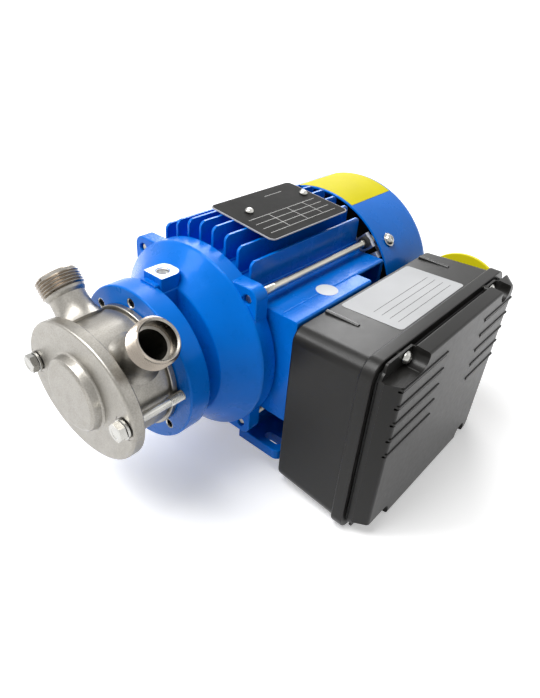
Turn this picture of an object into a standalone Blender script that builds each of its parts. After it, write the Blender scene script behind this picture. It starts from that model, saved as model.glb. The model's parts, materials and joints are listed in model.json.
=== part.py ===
"""Flexible impeller pump close coupled to a small foot-mounted motor with a reversing switch box.

Lengths are in metres. Everything is modelled about the shaft line: X runs from the pump cover to the
fan cowl and is zero where the end bell meets the motor frame, Z is up, and the switch box is on -Y.
The whole pump is then set down with the middle of its base at the world origin.
"""
import math

import bmesh
import bpy
from mathutils import Matrix, Vector

MM = 0.001

# Facets round a turned piece, by its size
LARGE = 32
MEDIUM = 24
SMALL = 16
FINE = 12
TINY = 8

# Fits
SEAT_GAP = 0.3 * MM
RUN_GAP = 0.4 * MM
BOLT_GAP = 0.3 * MM
SINK = 1.0 * MM

# Shaft and bearings
SHAFT_HEIGHT = 71 * MM
SHAFT_RADIUS = 7 * MM
BEARING_BORE = 7.5 * MM
BEARING_OUTER = 17.5 * MM
BEARING_WIDTH = 11 * MM
BEARING_BALLS = 8
BALL_RADIUS = 2.9 * MM
RACE_WALL = 2.6 * MM
ROTOR_JOURNAL = 10 * MM
FAN_JOURNAL = 6 * MM

# Motor frame
FRAME_LENGTH = 113 * MM
FRAME_RADIUS = 57 * MM
FRAME_WALL = 4 * MM
FIN_TIP_RADIUS = 74.5 * MM
FIN_PITCH = 10.4 * MM
FIN_THICKNESS = 2.0 * MM
FIN_CORNER = 4 * MM
PAD_TOP = 38 * MM
PAD_BOTTOM = -36 * MM
PAD_FRONT = 2 * MM
PAD_BODY_OUT = 62 * MM
PAD_FACE_OUT = 73.7 * MM
PAD_FACE_LENGTH = 77.5 * MM
PAD_POCKET_OUT = 52 * MM
PAD_PLATE = 4 * MM
FOOT_INNER = 36 * MM
FOOT_WEB = 5 * MM
FOOT_OUTER = 71 * MM
FOOT_THICKNESS = 7.5 * MM
FOOT_SETBACK = 4 * MM
FOOT_HOLE_OUT = 59.5 * MM
FOOT_HOLE_EDGE = 9.5 * MM
FOOT_SLOT_WIDTH = 7 * MM
FOOT_SLOT_LENGTH = 14 * MM

# Tie rods
ROD_OFFSET = 45.5 * MM
ROD_RADIUS = 2.5 * MM
ROD_SHANK = 2.15 * MM
ROD_FLANGE_RADIUS = 4.3 * MM
ROD_HEAD_RADIUS = 3.6 * MM
ROD_HEAD_HEIGHT = 5 * MM
EAR_PLATE = 3.8 * MM

# Stator and rotor
STATOR_START = 26 * MM
STATOR_REAR_ROOM = 27 * MM
STATOR_BORE = 30.5 * MM
STATOR_SLOTS = 24
STATOR_SLOT_DEPTH = 12 * MM
WINDING_REACH = 17 * MM
ROTOR_RADIUS = 30 * MM
ROTOR_RING = 7 * MM

# End bell: pump flange, lantern and bell in one casting
BELL_BAND = 10.9 * MM
BELL_RIM_RADIUS = 62.8 * MM
BELL_NOSE = 29 * MM
BELL_NOSE_RADIUS = 46 * MM
BELL_WALL = 4.5 * MM
BELL_SPIGOT = 4 * MM
EAR_REACH = 53 * MM
EAR_CORNER = 7 * MM
EAR_THICKNESS = 9.9 * MM
LANTERN_GAP = 11.8 * MM
DISC_THICKNESS = 14.4 * MM
DISC_RADIUS = 49 * MM
DISC_BOLT_CIRCLE = 41 * MM
DISC_HOLES = 8
DISC_HOLE_RADIUS = 2.6 * MM
DISC_HOLE_DEPTH = 11 * MM
RIB_HALF_WIDTH = 9 * MM
TOP_PAD_HEIGHT = 53.5 * MM
TOP_PAD_HALF_WIDTH = 8.2 * MM
TOP_PAD_LENGTH = 16.5 * MM
TOP_PAD_HOLE = 3.9 * MM
TOP_PAD_HOLE_DEPTH = 13 * MM

# Pump body
BODY_LENGTH = 30.5 * MM
BODY_RADIUS = 36.4 * MM
BODY_RING_RADIUS = 38.2 * MM
BODY_RING_WIDTH = 3.4 * MM
BODY_GROOVE = 1.0 * MM
NECK_RADIUS = 17 * MM
NECK_LENGTH = 11.5 * MM
CHAMBER_RADIUS = 27.8 * MM
CHAMBER_DEPTH = 23.5 * MM
CAM_LIFT = 5.0 * MM
CAM_HALF_ANGLE = math.radians(20)
CAM_RAMP_END = math.radians(42)
SEAL_BORE = 13.9 * MM
PORT_ANGLE = math.radians(44)
PORT_SETBACK = 17 * MM
PORT_MOUTH = 65.5 * MM
PORT_TUBE = 10.8 * MM
PORT_BORE = 8.8 * MM
PORT_MOUTH_BORE = 10.3 * MM
PORT_MOUTH_DEPTH = 9 * MM
PORT_THREAD = 13.1 * MM
PORT_THREAD_LENGTH = 12 * MM
PORT_CHAMFER = 1.0 * MM

# Cover
COVER_THICKNESS = 7.7 * MM
COVER_HALF_WIDTH = 48.8 * MM
COVER_HALF_HEIGHT = 39.8 * MM
COVER_ROUND = 2.6 * MM
COVER_BOSS = 6 * MM
COVER_BOSS_RADIUS = 22 * MM
COVER_SPIGOT = 1.6 * MM
COVER_BOLT_RADIUS = 3 * MM
COVER_RECESS = 9.5 * MM
WASHER_THICKNESS = 1.5 * MM
O_RING_RADIUS = 31.2 * MM
O_RING_WIRE = 0.7 * MM
HEX_ACROSS_FLATS = 10 * MM
HEX_HEIGHT = 4 * MM

# Impeller
IMPELLER_VANES = 8
IMPELLER_HUB = 14 * MM
INSERT_RADIUS = 11 * MM
VANE_REACH = 27.2 * MM
VANE_ROOT = 2.6 * MM
VANE_TIP = 1.9 * MM
VANE_BENT_REACH = 21.4 * MM
VANE_BEND = math.radians(14)
KEY_WIDTH = 4 * MM
KEY_LENGTH = 17 * MM

# Cooling fan and cowl
COWL_SETBACK = 4.4 * MM
COWL_LENGTH = 60.1 * MM
COWL_RADIUS = 70.2 * MM
COWL_WALL = 1.3 * MM
COWL_ROUND = 8 * MM
COWL_SCREW_SETBACK = 12.1 * MM
COWL_SCREW_ANGLE = math.radians(50)
COWL_SLOTS = 16
FAN_RADIUS = 59 * MM
FAN_BLADES = 8
FAN_SETBACK = 24 * MM
FAN_WIDTH = 19 * MM

# Nameplate
PLATE_REAR_ROOM = 16.5 * MM
PLATE_LENGTH = 77 * MM
PLATE_WIDTH = 53 * MM
PLATE_OUT = 11 * MM
PLATE_SHEET = 0.8 * MM
PLATE_CORNER = 3.5 * MM
PLATE_ROLL = math.radians(7)
PLATE_SCREW_EDGE = 16 * MM
PLATE_SCREW_SPACING = 54.5 * MM
PLATE_SCREW_OUT = 3.6 * MM

# Switch box, measured outwards from the shaft towards -Y
BOX_DEPTH = 55 * MM
BOX_LIP_WIDTH = 8 * MM
BOX_LEFT = -2.6 * MM
BOX_LENGTH = 161.8 * MM
BOX_TOP = 36.3 * MM
BOX_BOTTOM = -81 * MM
BOX_DRAFT = 2.4 * MM
BOX_WALL = 3 * MM
BOX_CORNER = 9 * MM
BOX_LIP = 2.2 * MM
GASKET = 1.0 * MM
LID_FLANGE = 3.4 * MM
LID_INSET = 2.6 * MM
LID_HEIGHT = 14 * MM
LID_LEFT_INSET = 4.1 * MM
LID_RIGHT_INSET = 14.7 * MM
LID_RISE = 4.7 * MM
LID_DROP = 3.5 * MM
LID_DRAFT = 1.2 * MM
LID_LEFT_DRAFT = 7.8 * MM
LID_RIGHT_DRAFT = 18 * MM
LID_CORNER = 5 * MM
LID_WALL = 2.6 * MM
LID_SCREW_LEFT_EDGE = 22.6 * MM
LID_SCREW_RIGHT_EDGE = 28.2 * MM
LID_SCREW_TOP_SHIFT = 0.1 * MM
LID_SCREW_BOTTOM_EDGE = 2 * MM
LID_SCREW_DEPTH = 6 * MM
LID_POCKET = 6.5 * MM
LID_POCKET_SHIFT = 2.2 * MM
POST_RADIUS = 3.4 * MM
LOUVRES = 5
LOUVRE_DROP = 12.4 * MM
LOUVRE_PITCH = 11.4 * MM
LOUVRE_HEIGHT = 1.8 * MM
LEFT_LOUVRE_LENGTH = 50 * MM
RIGHT_LOUVRE_LENGTH = 42 * MM
RIDGE_LEFT_EDGE = 29.1 * MM
RIDGE_RIGHT_EDGE = 20.2 * MM
RIDGE_LENGTH = 22.5 * MM
BOX_SCREWS_X = (15 * MM, 66 * MM)
BOX_SCREWS_Z = (-26 * MM, 27 * MM)
BOX_SCREW_RADIUS = 2 * MM
WIRE_WAY_X = 44 * MM
WIRE_WAY_Z = 6 * MM
WIRE_WAY_RADIUS = 8 * MM

# Switch, capacitor, terminals and gland
SWITCH_FROM_BACK = 28 * MM
SWITCH_Z = 7.5 * MM
SWITCH_BODY = 42 * MM
SWITCH_BODY_DEPTH = 34 * MM
DIAL_RADIUS = 31.8 * MM
DIAL_THICKNESS = 3 * MM
DIAL_BOSS_RADIUS = 15 * MM
KNOB_RADIUS = 12 * MM
KNOB_HEIGHT = 16 * MM
SWITCH_STEM = 3 * MM
CAPACITOR_RADIUS = 17.5 * MM
CAPACITOR_LENGTH = 72 * MM
CAPACITOR_LEFT_ROOM = 26.6 * MM
CAPACITOR_FROM_BACK = 29 * MM
CAPACITOR_Z = -52 * MM
CLIP_WIDTH = 12 * MM
TERMINAL_LENGTH = 36 * MM
TERMINAL_RIGHT_ROOM = 51.2 * MM
TERMINAL_Z = 17 * MM
TERMINAL_WIDTH = 18 * MM
TERMINAL_HEIGHT = 12 * MM
GLAND_Z = -48 * MM
GLAND_THREAD = 10 * MM
GLAND_HEX = 24 * MM
CABLE_BORE = 4.2 * MM

# Stations along the shaft that follow from the lengths above
BELL_FRONT = -BELL_NOSE
DISC_REAR = BELL_FRONT - LANTERN_GAP
DISC_FRONT = DISC_REAR - DISC_THICKNESS
BODY_REAR = DISC_FRONT - SEAT_GAP
BODY_FRONT = BODY_REAR - BODY_LENGTH
COVER_REAR = BODY_FRONT - SEAT_GAP
COVER_FRONT = COVER_REAR - COVER_THICKNESS
CHAMBER_REAR = BODY_FRONT + CHAMBER_DEPTH
NECK_REAR = BODY_REAR + NECK_LENGTH
FRONT_BEARING = -20 * MM
REAR_BEARING = FRAME_LENGTH + 3.5 * MM
EAR_FRONT = FRAME_LENGTH + SEAT_GAP
SHAFT_FRONT = COVER_REAR - 2 * MM
FAN_START = FRAME_LENGTH + FAN_SETBACK
SHAFT_REAR = FAN_START + FAN_WIDTH + 5 * MM
BASE_Z = -SHAFT_HEIGHT
FOOT_LENGTH = FRAME_LENGTH - FOOT_SETBACK
STATOR_LENGTH = FRAME_LENGTH - STATOR_START - STATOR_REAR_ROOM
PLATE_START = FRAME_LENGTH - PLATE_REAR_ROOM - PLATE_LENGTH
PLATE_SCREWS = (PLATE_START + PLATE_SCREW_EDGE, PLATE_START + PLATE_SCREW_EDGE + PLATE_SCREW_SPACING)
COWL_START = FRAME_LENGTH + COWL_SETBACK
COWL_END = COWL_START + COWL_LENGTH
COWL_SCREW_AT = COWL_START + COWL_SCREW_SETBACK

# Stations of the switch box
BOX_BACK_OUT = PAD_FACE_OUT + SEAT_GAP
BOX_FACE_OUT = BOX_BACK_OUT + BOX_DEPTH
BOX_LIP_OUT = BOX_FACE_OUT - BOX_LIP_WIDTH
BOX_RIGHT = BOX_LEFT + BOX_LENGTH
LID_FACE_OUT = BOX_FACE_OUT + LID_HEIGHT
LID_LEFT = BOX_LEFT + LID_LEFT_INSET
LID_RIGHT = BOX_RIGHT - LID_RIGHT_INSET
LID_TOP = BOX_TOP + LID_RISE
LID_BOTTOM = BOX_BOTTOM - LID_DROP
LID_SCREWS_X = (BOX_LEFT + LID_SCREW_LEFT_EDGE, BOX_RIGHT - LID_SCREW_RIGHT_EDGE)
LID_SCREWS_Z = (BOX_TOP + LID_SCREW_TOP_SHIFT, BOX_BOTTOM + LID_SCREW_BOTTOM_EDGE)
RIDGES_X = (BOX_LEFT + RIDGE_LEFT_EDGE, BOX_RIGHT - RIDGE_RIGHT_EDGE)
SWITCH_OUT = BOX_BACK_OUT + SWITCH_FROM_BACK
CAPACITOR_OUT = BOX_BACK_OUT + CAPACITOR_FROM_BACK

# Ways that a drawn outline can face
ALONG_SHAFT = Matrix(((0, 0, 1), (1, 0, 0), (0, 1, 0)))
TOWARDS_BOX = Matrix(((1, 0, 0), (0, 0, -1), (0, 1, 0)))
TURNED_ON_SHAFT = Matrix.Rotation(math.pi / 2, 3, "Y")
UPRIGHT = Matrix.Identity(3)

# Finishes: colour, roughness, metallic
BLUE_PAINT = ((0.0, 0.09, 0.62, 1), 0.28, 0.0)
STAINLESS = ((0.62, 0.60, 0.56, 1), 0.38, 1.0)
BRIGHT_STEEL = ((0.72, 0.72, 0.70, 1), 0.25, 1.0)
ZINC = ((0.66, 0.67, 0.64, 1), 0.32, 1.0)
SILVER_CASTING = ((0.55, 0.56, 0.57, 1), 0.5, 0.9)
BLACK_PLASTIC = ((0.028, 0.028, 0.028, 1), 0.42, 0.0)
GREY_PLASTIC = ((0.35, 0.36, 0.37, 1), 0.5, 0.0)
YELLOW_PLASTIC = ((0.92, 0.86, 0.02, 1), 0.4, 0.0)
RED_PLASTIC = ((0.62, 0.03, 0.02, 1), 0.4, 0.0)
BLACK_PLATE = ((0.02, 0.02, 0.018, 1), 0.45, 0.3)
BLACK_RUBBER = ((0.02, 0.02, 0.02, 1), 0.75, 0.0)
BRASS = ((0.75, 0.55, 0.22, 1), 0.3, 1.0)
COPPER = ((0.72, 0.32, 0.14, 1), 0.35, 1.0)
LAMINATION = ((0.25, 0.26, 0.27, 1), 0.5, 0.9)
CERAMIC = ((0.8, 0.78, 0.72, 1), 0.3, 0.0)
CARBON = ((0.05, 0.05, 0.05, 1), 0.35, 0.2)


def clear_scene():
    for obj in list(bpy.data.objects):
        bpy.data.objects.remove(obj, do_unlink=True)


def new_collection(name):
    collection = bpy.data.collections.new(name)
    bpy.context.scene.collection.children.link(collection)
    return collection


clear_scene()
PARTS = new_collection("flexible_impeller_pump")
CUTTERS = new_collection("cutters")


def new_empty(name, parent=None, location=(0, 0, 0)):
    empty = bpy.data.objects.new(name, None)
    empty.location = location
    empty.parent = parent
    PARTS.objects.link(empty)
    return empty


STAND = new_empty("stand")
ROTOR = new_empty("rotor_axis", STAND)
KNOB = new_empty("knob_axis", STAND, (0, -SWITCH_OUT, SWITCH_Z))


# Meshes

def mesh_from(bm, name="shape"):
    mesh = bpy.data.meshes.new(name)
    bm.to_mesh(mesh)
    bm.free()
    return mesh


def cylinder_mesh(radius, start, end, sides=SMALL, end_radius=None):
    """Round bar along local Z, from start to end."""
    bm = bmesh.new()
    bmesh.ops.create_cone(bm, cap_ends=True, segments=sides, radius1=radius,
                          radius2=radius if end_radius is None else end_radius, depth=end - start)
    bmesh.ops.translate(bm, verts=bm.verts, vec=(0, 0, (start + end) / 2))
    return mesh_from(bm)


def hex_mesh(across_flats, start, end):
    return cylinder_mesh(across_flats / math.sqrt(3), start, end, 6)


def block_mesh(low, high):
    bm = bmesh.new()
    bmesh.ops.create_cube(bm, size=1)
    size = [b - a for a, b in zip(low, high)]
    middle = [(a + b) / 2 for a, b in zip(low, high)]
    bmesh.ops.scale(bm, verts=bm.verts, vec=size)
    bmesh.ops.translate(bm, verts=bm.verts, vec=middle)
    return mesh_from(bm)


def ball_mesh(radius, centre):
    bm = bmesh.new()
    bmesh.ops.create_uvsphere(bm, u_segments=6, v_segments=4, radius=radius)
    bmesh.ops.translate(bm, verts=bm.verts, vec=centre)
    return mesh_from(bm)


def evaluated_mesh(obj):
    """The object's finished mesh in its own axes, with loose seams welded."""
    bpy.context.view_layer.update()
    shape = bpy.data.meshes.new_from_object(obj.evaluated_get(bpy.context.evaluated_depsgraph_get()))
    bm = bmesh.new()
    bm.from_mesh(shape)
    bmesh.ops.remove_doubles(bm, verts=bm.verts, dist=0.00001)
    return mesh_from(bm)


def outline_mesh(loops, start, end):
    """Flat outline, with holes where there are several loops, extruded along local Z."""
    curve = bpy.data.curves.new("outline", "CURVE")
    curve.dimensions = "2D"
    curve.fill_mode = "BOTH"
    curve.extrude = (end - start) / 2
    for loop in loops:
        spline = curve.splines.new("POLY")
        spline.points.add(len(loop) - 1)
        for point, (a, b) in zip(spline.points, loop):
            point.co = (a, b, 0, 1)
        spline.use_cyclic_u = True
    drawn = bpy.data.objects.new("outline", curve)
    CUTTERS.objects.link(drawn)
    mesh = evaluated_mesh(drawn)
    bpy.data.objects.remove(drawn, do_unlink=True)
    mesh.transform(Matrix.Translation((0, 0, (start + end) / 2)))
    return mesh


def turned_mesh(profile, sides=MEDIUM):
    """Solid of revolution about local Z from (distance along the axis, radius) pairs."""
    points = [(radius, along) for along, radius in profile]
    area = sum(a[0] * b[1] - b[0] * a[1] for a, b in zip(points, points[1:] + points[:1]))
    if area > 0:
        points.reverse()
    closed = min(radius for radius, along in points) > 0
    mesh = bpy.data.meshes.new("profile")
    edges = [(i, i + 1) for i in range(len(points) - 1)]
    if closed:
        edges.append((len(points) - 1, 0))
    mesh.from_pydata([(radius, 0, along) for radius, along in points], edges, [])
    spun = bpy.data.objects.new("profile", mesh)
    CUTTERS.objects.link(spun)
    screw = spun.modifiers.new("turn", "SCREW")
    screw.axis = "Z"
    screw.steps = sides
    screw.render_steps = sides
    screw.use_merge_vertices = True
    screw.merge_threshold = 0.00001
    shape = evaluated_mesh(spun)
    bpy.data.objects.remove(spun, do_unlink=True)
    return shape


def loft_mesh(sections):
    """Closed skin through sections that have the same number of points."""
    bm = bmesh.new()
    rings = [[bm.verts.new(point) for point in section] for section in sections]
    for ring, following in zip(rings, rings[1:]):
        for i in range(len(ring)):
            j = (i + 1) % len(ring)
            bm.faces.new((ring[i], ring[j], following[j], following[i]))
    bm.faces.new(list(reversed(rings[0])))
    bm.faces.new(rings[-1])
    bmesh.ops.recalc_face_normals(bm, faces=bm.faces)
    return mesh_from(bm)


def tube_mesh(points, radius):
    """Wire of one radius along a run of points."""
    curve = bpy.data.curves.new("wire", "CURVE")
    curve.dimensions = "3D"
    curve.bevel_depth = radius
    curve.bevel_resolution = 2
    curve.use_fill_caps = True
    spline = curve.splines.new("POLY")
    spline.points.add(len(points) - 1)
    for point, place in zip(spline.points, points):
        point.co = (*place, 1)
    drawn = bpy.data.objects.new("wire", curve)
    CUTTERS.objects.link(drawn)
    mesh = evaluated_mesh(drawn)
    bpy.data.objects.remove(drawn, do_unlink=True)
    return mesh


def moved(mesh, matrix):
    copy = mesh.copy()
    copy.transform(matrix)
    return copy


def gathered(meshes):
    """Several separate solids in one mesh."""
    bm = bmesh.new()
    for mesh in meshes:
        bm.from_mesh(mesh)
    return mesh_from(bm)


def facing(rotation, location=(0, 0, 0)):
    return Matrix.Translation(location) @ rotation.to_4x4()


# Outlines

def arc(cx, cy, radius, start, end, count):
    """Points on an arc, both ends included."""
    angles = [start + (end - start) * i / (count - 1) for i in range(count)]
    return [(cx + radius * math.cos(a), cy + radius * math.sin(a)) for a in angles]


def circle(radius, count=48, cx=0.0, cy=0.0):
    return arc(cx, cy, radius, 0, 2 * math.pi * (count - 1) / count, count)


def rounded_rectangle(left, right, low, high, radius, corner_points=3):
    quarter = math.pi / 2
    corners = ((right - radius, high - radius), (left + radius, high - radius),
               (left + radius, low + radius), (right - radius, low + radius))
    points = []
    for i, (cx, cy) in enumerate(corners):
        points += arc(cx, cy, radius, i * quarter, (i + 1) * quarter, corner_points)
    return points


def at_height(points, height):
    return [(a, b, height) for a, b in points]


# Objects

def paint(obj, finish):
    colour, roughness, metallic = finish
    material = bpy.data.materials.new(obj.name)
    material.use_nodes = True
    shader = material.node_tree.nodes["Principled BSDF"]
    shader.inputs["Base Color"].default_value = colour
    shader.inputs["Roughness"].default_value = roughness
    shader.inputs["Metallic"].default_value = metallic
    material.diffuse_color = colour
    obj.data.materials.clear()
    obj.data.materials.append(material)


def add_part(name, mesh, finish, rotation=UPRIGHT, location=(0, 0, 0), parent=STAND, smooth=True):
    obj = bpy.data.objects.new(name, mesh)
    mesh.name = name
    obj.rotation_euler = rotation.to_euler()
    obj.location = location
    obj.parent = parent
    PARTS.objects.link(obj)
    paint(obj, finish)
    if smooth:
        mesh.shade_smooth()
        mesh.set_sharp_from_angle(angle=math.radians(35))
    return obj


def add_copies(name, mesh, finish, places):
    """One object for each place, a 4 by 4 matrix, numbered from 1."""
    for number, place in enumerate(places, 1):
        add_part(f"{name}_{number}", mesh.copy(), finish, place.to_3x3(), place.to_translation())


def change(target, mesh, operation, rotation, location):
    """Cut or join a shape, kept as a hidden tool that rides with the part."""
    tool = bpy.data.objects.new(f"{target.name}_tool_{len(target.modifiers)}", mesh)
    tool.rotation_euler = rotation.to_euler()
    tool.location = location
    tool.parent = target.parent
    tool.hide_render = True
    tool.display_type = "WIRE"
    CUTTERS.objects.link(tool)
    step = target.modifiers.new(operation.lower(), "BOOLEAN")
    step.operation = operation
    step.solver = "EXACT"
    step.object = tool


def cut(target, mesh, rotation=UPRIGHT, location=(0, 0, 0)):
    change(target, mesh, "DIFFERENCE", rotation, location)


def join(target, mesh, rotation=UPRIGHT, location=(0, 0, 0)):
    change(target, mesh, "UNION", rotation, location)


def round_edges(obj, width, segments=2, angle=40):
    bevel = obj.modifiers.new("round", "BEVEL")
    bevel.width = width
    bevel.segments = segments
    bevel.limit_method = "ANGLE"
    bevel.angle_limit = math.radians(angle)
    return bevel


def united_mesh(meshes):
    """One solid from shapes that overlap."""
    base = bpy.data.objects.new("base", meshes[0].copy())
    CUTTERS.objects.link(base)
    tools = []
    for mesh in meshes[1:]:
        tool = bpy.data.objects.new("tool", mesh)
        CUTTERS.objects.link(tool)
        step = base.modifiers.new("union", "BOOLEAN")
        step.operation = "UNION"
        step.solver = "EXACT"
        step.object = tool
        tools.append(tool)
    result = evaluated_mesh(base)
    for obj in [base, *tools]:
        bpy.data.objects.remove(obj, do_unlink=True)
    return result


def ring_profile(start, end, inner, outer):
    return [(start, inner), (start, outer), (end, outer), (end, inner)]


def around_shaft(count, first=0.0):
    return [first + 2 * math.pi * i / count for i in range(count)]


def on_circle(radius, angle, along=0.0):
    """A point seen along the shaft, with the angle counted from the top towards +Y."""
    return Vector((along, radius * math.sin(angle), radius * math.cos(angle)))


# Pump head

def port_rotation(side):
    """Turns local Z to the port's own line; side is +1 for the port on +Y and -1 for the one on -Y."""
    return Matrix.Rotation(-side * PORT_ANGLE, 3, "X")


def port_place():
    return Vector((BODY_REAR - PORT_SETBACK, 0, 0))


def chamber_outline():
    """Bore of the pump chamber, with the cam between the ports that bends the vanes."""
    points = []
    for angle in around_shaft(36):
        off_top = abs((angle + math.pi) % (2 * math.pi) - math.pi)
        if off_top <= CAM_HALF_ANGLE:
            lift = 1.0
        elif off_top >= CAM_RAMP_END:
            lift = 0.0
        else:
            ramp = (off_top - CAM_HALF_ANGLE) / (CAM_RAMP_END - CAM_HALF_ANGLE)
            lift = 0.5 + 0.5 * math.cos(math.pi * ramp)
        radius = CHAMBER_RADIUS - CAM_LIFT * lift
        points.append((radius * math.sin(angle), radius * math.cos(angle)))
    return points


def build_pump_body():
    ring_start = BODY_REAR - BODY_RING_WIDTH
    groove_start = ring_start - BODY_GROOVE
    profile = [(BODY_FRONT, 0), (BODY_FRONT, BODY_RADIUS), (groove_start, BODY_RADIUS),
               (groove_start, BODY_RADIUS - BODY_GROOVE), (ring_start, BODY_RADIUS - BODY_GROOVE),
               (ring_start, BODY_RING_RADIUS), (BODY_REAR, BODY_RING_RADIUS), (BODY_REAR, NECK_RADIUS),
               (NECK_REAR, NECK_RADIUS), (NECK_REAR, 0)]
    body = add_part("pump_body", turned_mesh(profile, LARGE), STAINLESS, TURNED_ON_SHAFT)
    thread_start = PORT_MOUTH - PORT_THREAD_LENGTH
    port = [(BODY_RADIUS - 8 * MM, 0), (BODY_RADIUS - 8 * MM, PORT_TUBE + 2.5 * MM),
            (BODY_RADIUS - 1.5 * MM, PORT_TUBE + 2.5 * MM), (BODY_RADIUS + 4 * MM, PORT_TUBE),
            (thread_start - 2 * MM, PORT_TUBE), (thread_start, PORT_THREAD - PORT_CHAMFER),
            (thread_start + PORT_CHAMFER, PORT_THREAD),
            (PORT_MOUTH - PORT_CHAMFER, PORT_THREAD), (PORT_MOUTH, PORT_THREAD - PORT_CHAMFER),
            (PORT_MOUTH, 0)]
    bore = [(CHAMBER_RADIUS - 7 * MM, 0), (CHAMBER_RADIUS - 7 * MM, PORT_BORE),
            (PORT_MOUTH - PORT_MOUTH_DEPTH, PORT_BORE), (PORT_MOUTH - PORT_MOUTH_DEPTH, PORT_MOUTH_BORE),
            (PORT_MOUTH + SINK, PORT_MOUTH_BORE), (PORT_MOUTH + SINK, 0)]
    for side in (-1, 1):
        join(body, turned_mesh(port, SMALL), port_rotation(side), port_place())
    cut(body, outline_mesh([chamber_outline()], BODY_FRONT - SINK, CHAMBER_REAR), ALONG_SHAFT)
    for side in (-1, 1):
        cut(body, turned_mesh(bore, SMALL), port_rotation(side), port_place())
    seal_profile = [(CHAMBER_REAR - SINK, 0), (CHAMBER_REAR - SINK, SEAL_BORE),
                    (NECK_REAR - 1.5 * MM, SEAL_BORE), (NECK_REAR - 1.5 * MM, SHAFT_RADIUS + 2 * MM),
                    (NECK_REAR + SINK, SHAFT_RADIUS + 2 * MM), (NECK_REAR + SINK, 0)]
    cut(body, turned_mesh(seal_profile, SMALL), TURNED_ON_SHAFT)
    groove_half = O_RING_WIRE + 0.5 * MM
    groove = ring_profile(BODY_FRONT - SINK, BODY_FRONT + 2 * O_RING_WIRE + SEAT_GAP,
                          O_RING_RADIUS - groove_half, O_RING_RADIUS + groove_half)
    cut(body, turned_mesh(groove, MEDIUM), TURNED_ON_SHAFT)


def build_cover():
    outline = [(COVER_HALF_WIDTH * a, COVER_HALF_HEIGHT * b) for a, b in circle(1, LARGE)]
    cover = add_part("front_cover", outline_mesh([outline], COVER_FRONT, COVER_REAR), STAINLESS, ALONG_SHAFT)
    round_edges(cover, COVER_ROUND, 2)
    boss_front = COVER_FRONT - COVER_BOSS
    spigot_end = COVER_REAR + COVER_SPIGOT
    spigot = CHAMBER_RADIUS - CAM_LIFT - SEAT_GAP
    profile = [(boss_front, 0), (boss_front, COVER_BOSS_RADIUS - 1.8 * MM),
               (boss_front + 1.4 * MM, COVER_BOSS_RADIUS - 0.2 * MM),
               (COVER_FRONT - 1.2 * MM, COVER_BOSS_RADIUS + 0.5 * MM),
               (COVER_FRONT + SINK, COVER_BOSS_RADIUS + 2.4 * MM),
               (COVER_FRONT + 2 * SINK, spigot), (spigot_end, spigot), (spigot_end, 0)]
    join(cover, turned_mesh(profile, MEDIUM), TURNED_ON_SHAFT)
    cut(cover, cylinder_mesh(COVER_RECESS, COVER_FRONT, spigot_end + SINK, SMALL), TURNED_ON_SHAFT)
    hole = cylinder_mesh(COVER_BOLT_RADIUS + BOLT_GAP, COVER_FRONT - SINK, COVER_REAR + SINK, FINE)
    holes = [moved(hole, facing(TURNED_ON_SHAFT, (0, side * DISC_BOLT_CIRCLE, 0))) for side in (-1, 1)]
    cut(cover, gathered(holes))


def build_cover_fasteners():
    washer_front = COVER_FRONT - SEAT_GAP - WASHER_THICKNESS
    head_seat = washer_front - SEAT_GAP
    tip = DISC_FRONT + DISC_HOLE_DEPTH - 2 * MM
    bolt = united_mesh([hex_mesh(HEX_ACROSS_FLATS, head_seat - HEX_HEIGHT, head_seat),
                        cylinder_mesh(COVER_BOLT_RADIUS - 0.5 * MM, head_seat - SINK, tip, FINE)])
    washer = turned_mesh(ring_profile(washer_front, washer_front + WASHER_THICKNESS,
                                      COVER_BOLT_RADIUS + BOLT_GAP, 2 * COVER_BOLT_RADIUS), 16)
    places = [facing(TURNED_ON_SHAFT, (0, side * DISC_BOLT_CIRCLE, 0)) for side in (-1, 1)]
    add_copies("cover_bolt", bolt, BRIGHT_STEEL, places)
    add_copies("cover_washer", washer, BRIGHT_STEEL, places)
    count = 6
    section = [(BODY_FRONT + O_RING_WIRE + O_RING_WIRE * math.cos(a), O_RING_RADIUS + O_RING_WIRE * math.sin(a))
               for a in around_shaft(count)]
    add_part("cover_o_ring", turned_mesh(section, MEDIUM), BLACK_RUBBER, TURNED_ON_SHAFT)


def impeller_outline():
    """Hub with tapered vanes that end in a bead; the vane under the cam is bent over and drawn shorter."""
    points = []
    for angle in around_shaft(IMPELLER_VANES):
        bent = angle == 0
        reach = VANE_BENT_REACH if bent else VANE_REACH
        tip_angle = angle + (VANE_BEND if bent else 0.0)
        root = math.asin(VANE_ROOT / IMPELLER_HUB)
        centre = Vector((math.sin(tip_angle), math.cos(tip_angle))) * (reach - VANE_TIP)
        start = Vector((math.sin(angle - root), math.cos(angle - root))) * IMPELLER_HUB
        finish = Vector((math.sin(angle + root), math.cos(angle + root))) * IMPELLER_HUB
        lean = math.atan2(centre.x - (start.x + finish.x) / 2, centre.y - (start.y + finish.y) / 2)
        side = Vector((math.cos(lean), -math.sin(lean)))
        ahead = Vector((math.sin(lean), math.cos(lean)))
        waist = centre - ahead * VANE_TIP * 1.8
        points.append(start)
        points.append(waist - side * VANE_TIP * 0.62)
        for turn in (-1.0, -0.5, 0.0, 0.5, 1.0):
            swing = turn * math.radians(110)
            points.append(centre + (side * math.sin(swing) + ahead * math.cos(swing)) * VANE_TIP)
        points.append(waist + side * VANE_TIP * 0.62)
        points.append(finish)
    return [(point.x, point.y) for point in points]


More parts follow.
